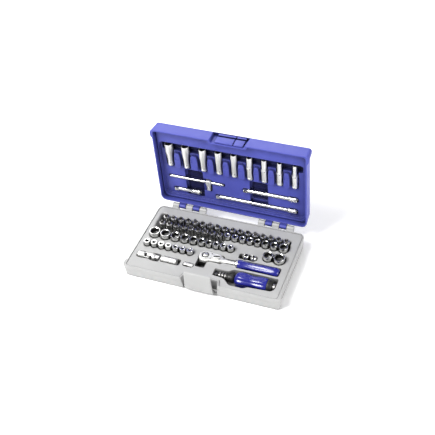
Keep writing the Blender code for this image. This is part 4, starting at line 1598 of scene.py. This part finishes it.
@dataclass
class LidTools:
    """Deep sockets, sliding T-bar and extension bars lying in the lid."""

    deep_length: float = 50.0
    deep_short: float = 1.8
    deep_foot: float = 5.3
    stepped_foot: float = 5.1
    deep_heads: tuple[float, ...] = (7.24, 6.76, 6.28, 5.8, 5.32, 4.84, 4.36, 3.88, 3.64)
    deep_wall: float = 0.75
    stepped_from: int = 6
    drive: float = 6.35
    bar_radius: float = 3.3
    end_radius: float = 4.8
    end_length: float = 15.0

    def build(self) -> None:
        """Build every tool of the lid."""
        for i in range(1, 10):
            self.deep_socket(i)
        self.tbar()
        for length in (50, 100, 150):
            self.extension(f"extension_{length}")

    def deep_socket(self, number: int) -> None:
        """One deep socket with its detent hole.

        Args:
            number: its place in the row, from the left.
        """
        node = f"deep_socket_{number}"
        room = Extent.of(node)
        head = self.deep_heads[number - 1]
        size = (head - self.deep_wall) * math.sqrt(3.0)
        stepped = number >= self.stepped_from
        shoulder = (25.0, 27.6) if stepped else (14.0, 32.0)
        foot = self.stepped_foot if stepped else self.deep_foot
        shape = SocketShape(self.deep_length - 2 * self.deep_short, foot, head, shoulder, size,
                            groove=4.0)
        solids = [shape.solid()]
        if stepped:
            wide = foot
            collar = [(wide - 0.4, 22.6), (wide + 0.5, 23.0), (wide + 0.5, 25.6), (wide - 0.4, 26.0),
                      (wide - 1.2, 26.0), (wide - 1.2, 22.6)]
            solids.append(turned(collar, 48, closed=True))
        spot = Matrix.Translation((room.centre.x, room.centre.y, room.low.z + self.deep_short))
        make_piece(f"deep_{number}", solids, SATIN, node, [node], spot)
        height = 24.2 if stepped else 6.5
        radius = foot + (0.53 if stepped else 0.03)
        hole = turned([(0.7, -0.3), (0.9, 0.0), (0.9, 0.06), (0.55, 0.06), (0.5, -0.3)], 20, closed=True)
        dot = turned([(0.56, -0.25), (0.56, 0.02)], 20)
        turn = Matrix.Rotation(math.radians(20.0), 4, "Z") @ Matrix.Translation((0.0, -radius, height))
        turn = turn @ Matrix.Rotation(math.radians(90.0), 4, "X")
        detent = [solid.placed(turn) for solid in (hole, dot)]
        make_piece(f"deep_{number}_detent", detent, DARK_STEEL, node, (), spot)

    def tbar(self) -> None:
        """Cross rod with ball stops, and the block that slides on it."""
        room = Extent.of("tbar_rod")
        length = room.size.x
        radius = room.size.z / 2 - 0.45
        profile = [(radius - 0.9, 0.0), (radius - 0.25, 0.25), (radius, 0.9), (radius, 6.0),
                   (radius - 0.3, 6.4),
                   (radius - 0.3, 7.2), (radius, 7.6), (radius, length - 7.6),
                   (radius - 0.3, length - 7.2),
                   (radius - 0.3, length - 6.4), (radius, length - 6.0), (radius, length - 0.9),
                   (radius - 0.25, length - 0.25), (radius - 0.9, length)]
        place = along_x(room.low.x, room.centre.y, room.centre.z)
        make_piece("tbar_cross_rod", [turned(profile, 32)], POLISHED, "tbar", ["tbar_rod"],
                   place)
        head = Extent.of("tbar_head")
        x, y = head.centre.x, head.centre.y
        top = head.high.z
        half = head.size.x / 2
        collar = slab(rounded([(x - half, y - 4, 1.6), (x + half, y - 4, 1.6), (x + half, y + 4, 1.6),
                               (x - half, y + 4, 1.6)], 4), top - 11.0, top, 1.2, 1.6)
        square = self.drive / 2
        tang = block(x - square, x + square, y - square, y + square, head.low.z, top - 10.0, 0.7)
        ball = detent_ball(x, y - square + 0.35, head.low.z + 4.0)
        make_piece("tbar_slide", [collar, tang, ball], SATIN, "tbar_head", ["tbar_head"])

    def extension(self, node: str) -> None:
        """One extension bar: square tang, round bar, and knurled socket end.

        Args:
            node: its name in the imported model.
        """
        room = Extent.of(node)
        length = room.size.x
        bar, end, head = self.bar_radius, self.end_radius, length - self.end_length
        tang = self.drive - 0.2
        rings = [polygon_ring(4, tang - 1.2, 0.0), polygon_ring(4, tang - 0.3, 0.5),
                 polygon_ring(4, tang, 1.1),
                 polygon_ring(4, tang, 7.6), round_ring(bar - 0.1, 8.4), round_ring(bar, 9.2),
                 round_ring(bar, head - 2.4), round_ring(end - 0.3, head - 0.2),
                 round_ring(end, head + 0.4)]
        for k in range(7):
            z = head + 3.0 + k * 1.0
            rings += [round_ring(end, z), round_ring(end - 0.22, z + 0.3),
                      round_ring(end - 0.22, z + 0.6)]
        rings += [round_ring(end, head + 10.2), round_ring(end, length - 0.7),
                  round_ring(end - 0.25, length - 0.2),
                  round_ring(end - 0.5, length), round_ring(4.2, length),
                  polygon_ring(4, self.drive * 0.98, length - 0.8),
                  polygon_ring(4, self.drive * 0.98, length - 9.0)]
        solid = Solid().stack(rings).facing_out()
        solid.placed(Matrix.Rotation(math.radians(45.0), 4, "Z"))
        place = along_x(room.low.x, room.centre.y, room.centre.z)
        make_piece(node + "_bar", [solid], POLISHED, node, [node], place)


# --- tools lying in the base --------------------------------------------------------------
@dataclass
class Ratchet:
    """Reversible ratchet with its grip."""

    head_radius: float = 12.0
    grip_start: float = 48.0
    grip_end: float = 121.0

    def build(self) -> None:
        """Build every piece of the ratchet."""
        body = Extent.of("ratchet_body")
        cover = Extent.of("ratchet_cover")
        self.axis = Extent.of("ratchet_button").centre
        self.low, self.top = body.low.z, cover.low.z - 0.3
        self.body()
        self.cover(cover)
        self.button()
        self.lever()
        self.drive()
        self.grip()

    def head_plan(self, radius: float, shrink: float) -> list[Point]:
        """Plan of the head and its lever housing.

        Args:
            radius: radius of the round head.
            shrink: how far the housing stays inside its full width.

        Returns:
            The plan.
        """
        x, y = self.axis.x, self.axis.y
        tail = [(x, y - 9.0 + shrink), (x + 26.0, y - 7.6 + shrink), (x + 31.5 - shrink, y - 4.2),
                (x + 31.5 - shrink, y + 4.2), (x + 26.0, y + 7.6 - shrink), (x, y + 9.0 - shrink)]
        return softened(merged([circle(x, y, radius, 60), tail]), 0.7, 5)

    def body(self) -> None:
        """Head and neck."""
        head = slab(self.head_plan(self.head_radius, 0.0), self.low, self.top, 1.8, 1.4)
        sections = [(14.0, 6.4, 5.0), (20.0, 6.0, 4.8), (25.0, 4.7, 4.3), (30.0, 3.9, 4.0),
                    (36.0, 3.5, 3.8),
                    (43.0, 3.7, 3.8), (49.0, 4.0, 4.0), (60.0, 4.0, 4.0)]
        rings = []
        for x, wide, high in sections:
            rings.append([(x, self.axis.y + wide * math.cos(a), 24.0 + high * math.sin(a))
                          for a in (2 * math.pi * i / 40 for i in range(40))])
        neck = Solid().stack(rings).facing_out()
        make_piece("ratchet_head", [head, neck], BRUSHED, "ratchet", ["ratchet_body"])

    def cover(self, room: Extent) -> None:
        """Cover plate with its screws, the well round the button, and a dark ring in the well as painted
        shade.

        Args:
            room: the box that the cover fills.
        """
        x, y = self.axis.x, self.axis.y
        plate = Solid()
        outline = self.cover_plan()
        levels = [(0.0, room.low.z - 0.2), (0.0, room.high.z - 0.35), (-0.12, room.high.z - 0.1),
                  (-0.35, room.high.z)]
        rings = [plate.flat_loop(grown(outline, offset), z) for offset, z in levels]
        plate.walls(rings)
        plate.cap(rings[0])
        well = Pocket(circle(x, y, 6.5, 40), room.low.z, False, 0.2, 0.2, 0.0)
        screws = [Pocket(circle(x + 10.5, y + side * 5.3, 1.35, 20), room.high.z - 0.6, False, 0.15,
                         0.15, 0.2)
                  for side in (-1, 1)]
        plate.face(rings[-1], room.high.z, (well, *screws))
        make_piece("ratchet_cover_plate", [plate.facing_out()], BRUSHED, "ratchet",
                   ["ratchet_cover"])
        heads = []
        for side in (-1, 1):
            screw = turned([(1.1, 0.0), (1.1, 0.3), (0.8, 0.42), (0.2, 0.42)], 20)
            heads.append(screw.placed(Matrix.Translation((x + 10.5, y + side * 5.3, room.high.z - 0.6))))
        # A dark ring on the floor of the button's well, painted shade round the button.
        shade_ring = turned([(4.75, 0.0), (6.25, 0.0), (6.25, 0.25), (4.75, 0.25)], 40, closed=True)
        heads.append(shade_ring.placed(Matrix.Translation((x, y, room.low.z + 0.02))))
        make_piece("ratchet_screws_and_shade_ring", heads, DARK_STEEL, "ratchet")

    def cover_plan(self) -> list[Point]:
        """Plan of the cover plate.

        Returns:
            The plan.
        """
        x, y = self.axis.x, self.axis.y
        return softened(merged([circle(x, y, 9.2, 48),
                                [(x, y - 8.2), (x + 25.0, y - 6.4), (x + 25.0, y + 6.4),
                                                         (x, y + 8.2)]]), 0.7, 5)

    def button(self) -> None:
        """Domed quick-release button."""
        room = Extent.of("ratchet_button")
        tall = room.size.z
        profile = [(4.2, 0.0), (4.55, 0.3), (4.55, tall - 1.5), (4.35, tall - 1.1), (3.8, tall - 0.7),
                   (3.0, tall - 0.4),
                   (2.0, tall - 0.15), (1.0, tall - 0.03), (0.3, tall)]
        spot = Matrix.Translation((self.axis.x, self.axis.y, room.low.z))
        make_piece("ratchet_push_button", [turned(profile)], SATIN, "ratchet_button",
                   ["ratchet_button"], spot)

    def lever(self) -> None:
        """Reversing lever with its curved thumb piece."""
        room = Extent.of("ratchet_lever")
        x, y = room.low.x + 4.6, self.axis.y
        base = room.high.z - 2.4
        plan = softened([(x - 4.4, y - 3.4), (x + 3.0, y - 4.2), (x + 8.2, y - 1.6), (x + 8.2, y + 1.6),
                         (x + 3.0, y + 4.2), (x - 4.4, y + 3.4)], 0.6, 4)
        thumb = slab(plan, base, room.high.z - 1.0, 0.5, 0.4)
        blade = softened([(x - 3.6, y - 2.6), (x + 2.6, y - 1.6), (x + 7.6, y + 0.6), (x + 7.2, y + 2.0),
                          (x + 1.4, y + 0.6), (x - 3.9, y - 0.9)], 0.5, 3)
        ridge = slab(blade, room.high.z - 1.3, room.high.z, 0.5, 0.2)
        stem = turned([(2.2, 0.0), (2.2, base - room.low.z + 0.3)], 32)
        stem.placed(Matrix.Translation((x, y, room.low.z)))
        make_piece("ratchet_reverser", [thumb, stem], BRUSHED, "ratchet_lever",
                   ["ratchet_lever"])
        make_piece("ratchet_reverser_blade", [ridge], DARK_STEEL, "ratchet_lever")

    def drive(self) -> None:
        """Gear and square drive with its locking ball."""
        room = Extent.of("ratchet_drive")
        x, y = room.centre.x, room.centre.y
        teeth = 36
        rings = []
        for z, lean in ((room.high.z - 8.0, 0.25), (room.high.z - 7.6, 0.0), (room.high.z - 0.4, 0.0),
                        (room.high.z, 0.25)):
            ring = []
            for i in range(4 * teeth):
                turn = 2 * math.pi * i / (4 * teeth)
                reach = 7.55 + 0.4 * math.cos(teeth * turn) - lean
                ring.append((x + reach * math.cos(turn), y + reach * math.sin(turn), z))
            rings.append(ring)
        gear = Solid().stack(rings).facing_out()
        square = block(x - 3.15, x + 3.15, y - 3.15, y + 3.15, room.low.z, room.high.z - 7.0, 0.6)
        ball = detent_ball(x, y - 2.9, room.low.z + 4.0)
        make_piece("ratchet_square", [gear, square, ball], TOOL_STEEL, "ratchet_drive",
                   ["ratchet_drive"])

    def grip(self) -> None:
        """Moulded grip and its bright ferrule."""
        start, end = self.grip_start, self.grip_end
        length = end - start
        profile = [(0.0, 7.0, 0.0), (0.5, 7.7, 0.0), (1.2, 8.1, 0.0), (3.0, 9.0, 0.0), (4.0, 9.1, 0.0),
                   (7.0, 8.7, 0.1),
                   (12.0, 8.1, 0.45), (20.0, 7.7, 0.7), (30.0, 7.8, 0.8), (42.0, 8.2, 0.8),
                   (52.0, 8.6, 0.7),
                   (62.0, 8.8, 0.4), (66.0, 8.75, 0.1), (length - 4.0, 8.3, 0.0),
                   (length - 1.6, 7.3, 0.0),
                   (length - 0.4, 6.0, 0.0), (length, 4.8, 0.0)]
        grip = lobed([(z, radius, depth) for z, radius, depth in profile], 6)
        make_piece("ratchet_handle", [grip], BLUE_GRIP, "ratchet", ["ratchet_grip"],
                   along_x(start, self.axis.y, 24.0))
        ferrule = turned([(4.1, -4.6), (6.4, -4.6), (7.4, -4.1), (7.9, -3.0), (8.2, 0.4), (7.9, 0.9),
                          (4.1, 0.9)], 48,
                         closed=True)
        make_piece("ratchet_ferrule", [ferrule], POLISHED, "ratchet", (),
                   along_x(start, self.axis.y, 24.0))


@dataclass
class Driver:
    """Spinner handle with its black shank."""

    square: float = 6.35

    def build(self) -> None:
        """Build shank, grip, end and cap."""
        shank = Extent.of("driver_shaft")
        grip = Extent.of("driver_grip")
        end = Extent.of("driver_end")
        self.place = along_x(0.0, grip.centre.y, grip.centre.z)
        self.shank(shank)
        self.grip(grip)
        self.end(end)

    def shank(self, room: Extent) -> None:
        """Black shank with turned rings, and the dark square.

        Args:
            room: the box that the shank fills.
        """
        x = room.low.x
        rings = [(4.6, x + 7.4), (5.5, x + 7.8), (6.0, x + 8.6), (6.0, x + 12.0), (5.6, x + 12.4),
                 (5.6, x + 13.2),
                 (6.0, x + 13.6), (6.0, x + 17.0), (5.6, x + 17.4), (5.6, x + 18.2), (6.0, x + 18.6),
                 (6.0, x + 23.6),
                 (7.0, x + 25.4), (7.4, x + 26.4), (7.4, x + 28.0), (7.0, x + 28.4), (7.0, x + 29.0),
                 (7.4, x + 29.4),
                 (7.4, x + 33.6), (6.4, x + 35.4), (4.9, x + 36.8), (4.9, x + 62.0)]
        make_piece("driver_shank", [turned(rings)], BLACK_GRIP, "driver", ["driver_shaft"],
                   self.place)
        half = self.square / 2
        tang = block(-half, half, -half, half, x, x + 8.5, 0.6)
        make_piece("driver_square", [tang], DARK_STEEL, "driver", (), self.place)
        bands = [
            turned([(6.02, low), (6.25, low + 0.2), (6.25, high - 0.2), (6.02, high), (5.2, high),
                    (5.2, low)], 48,
                   closed=True)
            for low, high in ((x + 9.2, x + 11.0), (x + 14.4, x + 16.0), (x + 19.6, x + 21.0))]
        make_piece("driver_bands", bands, TOOL_STEEL, "driver", (), self.place)

    def grip(self, room: Extent) -> None:
        """Fluted grip.

        Args:
            room: the box that the grip fills.
        """
        start, end = room.low.x, room.high.x
        sections = [(0.0, 7.4, 0.0), (0.6, 8.6, 0.0), (1.4, 9.6, 0.1), (3.0, 11.6, 0.5),
                    (5.5, 13.1, 1.0), (9.0, 13.7, 1.3),
                    (14.0, 13.8, 1.4), (20.0, 13.1, 1.2), (26.0, 12.0, 0.8), (30.0, 11.6, 0.6),
                    (35.0, 12.0, 0.8),
                    (41.0, 13.0, 1.2), (46.0, 13.3, 1.3), (51.0, 13.1, 0.9),
                    (end - start - 1.2, 12.6, 0.2),
                    (end - start - 0.3, 12.0, 0.0), (end - start, 11.2, 0.0)]
        solid = lobed([(start + z, radius, depth) for z, radius, depth in sections], 8, 96, 1.6)
        make_piece("driver_handle", [solid], BLUE_GRIP, "driver", ["driver_grip"], self.place)

    def end(self, room: Extent) -> None:
        """Black end with its bright female square cap.

        Args:
            room: the box that the end fills.
        """
        x = room.low.x
        profile = [(11.0, x), (11.9, x + 0.3), (12.1, x + 1.0), (11.6, x + 3.6), (10.6, x + 6.6),
                   (9.4, x + 8.2),
                   (7.4, x + 8.8), (6.0, x + 9.0)]
        make_piece("driver_butt", [turned(profile)], BLACK_GRIP, "driver", ["driver_end"],
                   self.place)
        far = room.high.x
        cap = Solid().stack([
            round_ring(6.2, x + 8.4), round_ring(6.2, far - 0.6), round_ring(5.7, far),
            round_ring(4.3, far),
            polygon_ring(4, 6.2, far - 0.7), polygon_ring(4, 6.2, far - 4.0)]).facing_out()
        make_piece("driver_cap", [cap], TOOL_STEEL, "driver", (), self.place)


@dataclass
class FrontRow:
    """Universal joint, coupler, adapters and bit holders."""

    square: float = 6.35

    def build(self) -> None:
        """Build every small piece of the front row, and the two bit holders."""
        self.joint_centre = Extent.of("ujoint_cross").centre
        self.yoke("ujoint_socket", "ujoint", True, -1.0, 19.5)
        self.yoke("ujoint_drive", "ujoint_drive", False, 1.0, 11.5)
        self.cross()
        self.coupler()
        self.adapter()
        for number in (1, 2):
            self.holder(number)

    def yoke(self, node: str, body: str, upright: bool, way: float, reach: float) -> None:
        """One yoke of the universal joint.

        Args:
            node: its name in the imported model.
            body: the body it rides on.
            upright: whether its ears stand above and below the cross.
            way: the direction along X in which it points.
            reach: length from the cross to its end.
        """
        near, far = 7.0, reach
        barrel = [(4.4, near), (5.5, near + 0.2), (5.9, near + 0.9), (5.9, far - 4.2), (5.6, far - 3.8),
                  (5.6, far - 3.2),
                  (5.9, far - 2.8), (5.9, far - 0.7), (5.4, far)]
        if way < 0:
            rings = [round_ring(radius, z) for radius, z in barrel]
            rings += [round_ring(4.4, far), polygon_ring(4, 6.2, far - 0.8),
                      polygon_ring(4, 6.2, far - 8.0)]
            solids = [Solid().stack(rings).facing_out()]
        else:
            half = self.square / 2
            solids = [turned(barrel), block(-half, half, -half, half, far - 0.5, 19.0, 0.6)]
        for side in (-1, 1):
            plan = rounded([(-3.0, -2.6, 2.2), (8.0, -3.0, 0.6), (8.0, 3.0, 0.6), (-3.0, 2.6, 2.2)], 6)
            ear = slab(plan, 4.1, 5.5, 0.35, 0.2)
            rivet = turned([(1.4, 5.3), (1.4, 5.65), (1.1, 5.85), (0.3, 5.88)], 20)
            for part in (ear, rivet):
                solids.append(part.placed(Matrix(((0, side, 0, 0), (0, 0, side, 0), (1, 0, 0, 0),
                                                  (0, 0, 0, 1)))))
        turn = along_x(*self.joint_centre) @ Matrix.Rotation(math.pi / 2 if upright else 0.0, 4, "Z")
        if way < 0:
            turn = along_x(*self.joint_centre) @ Matrix.Rotation(math.pi, 4, "Y") @ Matrix.Rotation(
                math.pi / 2 if upright else 0.0, 4, "Z")
        make_piece(node + "_yoke", solids, SATIN, body, [node], turn)

    def cross(self) -> None:
        """Cross block of the universal joint with its pins."""
        solids = [block(-3.0, 3.0, -3.0, 3.0, -3.0, 3.0, 0.5)]
        for axis in ("X", "Z"):
            pin = turned([(1.0, -5.5), (1.3, -5.2), (1.3, 5.2), (1.0, 5.5)], 20)
            turn = Matrix.Rotation(math.pi / 2, 4, "X") if axis == "X" else Matrix.Identity(4)
            solids.append(pin.placed(turn))
        make_piece("ujoint_spider", solids, TOOL_STEEL, "ujoint_cross", ["ujoint_cross"],
                   Matrix.Translation(self.joint_centre))

    def coupler(self) -> None:
        """Coupler with two bright bands and a square socket."""
        room = Extent.of("coupler")
        outside = [(4.4, 0.0), (5.4, 0.0), (5.8, 0.3), (6.0, 0.8), (6.0, 11.6), (5.5, 12.2), (5.5, 15.2),
                   (6.0, 15.8), (6.0, 21.6), (5.7, 21.9), (5.7, 22.5), (6.0, 22.8), (6.0, 27.2),
                   (5.8, 27.7),
                   (5.3, 28.0), (4.0, 28.0)]
        rings = [polygon_ring(4, 6.2, 9.5), polygon_ring(4, 6.2, 0.8)]
        rings += [round_ring(radius, z) for radius, z in outside]
        rings += [polygon_ring(6, 6.3, 27.2), polygon_ring(6, 6.3, 18.0)]
        make_piece("bit_coupler", [Solid().stack(rings).facing_out()], SATIN, "coupler",
                   ["coupler"],
                   along_x(room.low.x, room.centre.y, room.centre.z))

    def adapter(self) -> None:
        """Small square-to-hexagon adapter."""
        room = Extent.of("small_adapter")
        tang = block(-2.9, 2.9, -2.9, 2.9, 0.0, 8.6, 0.5)
        collar = turned([(3.3, 8.2), (3.8, 8.5), (3.9, 9.0), (3.9, 11.6), (3.6, 12.0), (3.6, 12.8),
                         (3.9, 13.2),
                         (3.9, 16.2), (3.7, 16.7), (3.2, 17.0)], 40)
        make_piece("square_adapter", [tang, collar], SATIN, "small_adapter",
                   ["small_adapter"],
                   along_x(room.low.x, room.centre.y, room.centre.z))

    def holder(self, number: int) -> None:
        """Short bit holder with a domed collar.

        Args:
            number: 1 or 2.
        """
        node = f"bit_holder_{number}"
        room = Extent.of(node)
        outside = [(4.5, 0.0), (4.9, 0.3), (5.0, 0.8), (5.0, 4.0), (4.7, 4.3), (4.7, 5.0), (5.0, 5.3),
                   (5.0, 11.8), (5.9, 13.2), (6.0, 14.0), (6.0, 17.6), (5.8, 18.6), (5.3, 19.9),
                   (4.6, 21.0),
                   (3.9, 21.7), (3.4, 22.0), (3.0, 22.0)]
        rings = [round_ring(radius, z) for radius, z in outside]
        rings += [polygon_ring(6, 4.9, 21.4), polygon_ring(6, 4.9, 14.0)]
        spot = Matrix.Translation((room.centre.x, room.centre.y, room.low.z))
        make_piece(node + "_collar", [Solid().stack(rings).facing_out()], POLISHED, node,
                   [node], spot)


# --- studio -----------------------------------------------------------------------------
@dataclass
class Studio:
    """Pale floor, soft lights and the camera."""

    target: Point3 = (10.2, 0.0, 105.1)
    azimuth: float = 24.545
    elevation: float = 43.094
    distance: float = 1321.0
    roll: float = -5.721
    lens: float = 66.39
    floor_size: float = 3.0

    def build(self) -> None:
        """Build the floor, the lights and the camera."""
        self.floor()
        self.lights()
        self.camera()

    def floor(self) -> None:
        """Large pale floor with a faint mottle."""
        half = self.floor_size
        mesh = bpy.data.meshes.new("floor")
        corners = [(-half, -half, 0.0), (half, -half, 0.0), (half, half, 0.0), (-half, half, 0.0)]
        mesh.from_pydata(corners, [], [(0, 1, 2, 3)])
        graph = NodeGraph("floor_paper")
        tone = graph.blend(graph.noise(3.0, 3.0), (0.94, 0.94, 0.94), (0.97, 0.97, 0.97))
        graph.link(tone, graph.shader.inputs["Base Color"])
        graph.shader.inputs["Roughness"].default_value = 0.9
        graph.shader.inputs["Emission Color"].default_value = (1.0, 1.0, 1.0, 1.0)
        graph.shader.inputs["Emission Strength"].default_value = 0.15
        graph.bump(graph.noise(500.0, 2.0), 0.1, 0.1)
        mesh.materials.append(graph.material)
        floor = bpy.data.objects.new("floor", mesh)
        floor.location.z = -0.0002
        bpy.context.scene.collection.objects.link(floor)

    def light(self, name: str, place: Point3, size: float, power: float) -> None:
        """One square soft light aimed at the case.

        Args:
            name: name of the light.
            place: where it stands, in metres.
            size: its side, in metres.
            power: its strength in watts.
        """
        lamp = bpy.data.lights.new(name, "AREA")
        lamp.size = size
        lamp.energy = power
        obj = bpy.data.objects.new(name, lamp)
        obj.location = place
        obj.rotation_euler = (Vector((0.0, 0.0, 0.08)) - Vector(place)).to_track_quat("-Z",
            "Y").to_euler()
        bpy.context.scene.collection.objects.link(obj)

    def lights(self) -> None:
        """Key from the front left, fill from the right, and a bright surround."""
        self.light("key", (-0.95, -0.95, 1.85), 1.0, 70.0)
        self.light("fill", (1.75, -0.47, 0.65), 0.9, 21.0)
        self.light("back", (-0.6, 1.35, 1.45), 1.3, 19.0)
        world = bpy.data.worlds.new("surround")
        world.use_nodes = True
        world.node_tree.nodes["Background"].inputs["Color"].default_value = (1.0, 1.0, 1.0, 1.0)
        world.node_tree.nodes["Background"].inputs["Strength"].default_value = 0.30
        bpy.context.scene.world = world
        bpy.context.scene.view_settings.view_transform = "Standard"

    def camera(self) -> None:
        """Camera in front, above and to the right."""
        side, up = math.radians(self.azimuth), math.radians(self.elevation)
        back = Vector((math.sin(side) * math.cos(up), -math.cos(side) * math.cos(up), math.sin(up)))
        camera = bpy.data.cameras.new("camera")
        camera.lens = self.lens
        camera.sensor_width = 36.0
        obj = bpy.data.objects.new("camera", camera)
        aim = Vector(self.target)
        spot = aim + back * self.distance
        turn = (-back).to_track_quat("-Z", "Y").to_matrix().to_4x4()
        roll = Matrix.Rotation(math.radians(self.roll), 4, "Z")
        obj.matrix_world = Matrix.Translation(spot * MM) @ turn @ roll
        bpy.context.scene.collection.objects.link(obj)
        bpy.context.scene.camera = obj


def main() -> None:
    """Build the whole set, each piece logging its face count."""
    logging.basicConfig(level=logging.INFO, format="%(message)s")
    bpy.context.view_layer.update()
    Studio().build()
    Base().build()
    Lid().build()
    StandingSockets().build()
    BitRows().build()
    LidTools().build()
    Ratchet().build()
    Driver().build()
    FrontRow().build()


if __name__ == "__main__":
    main()
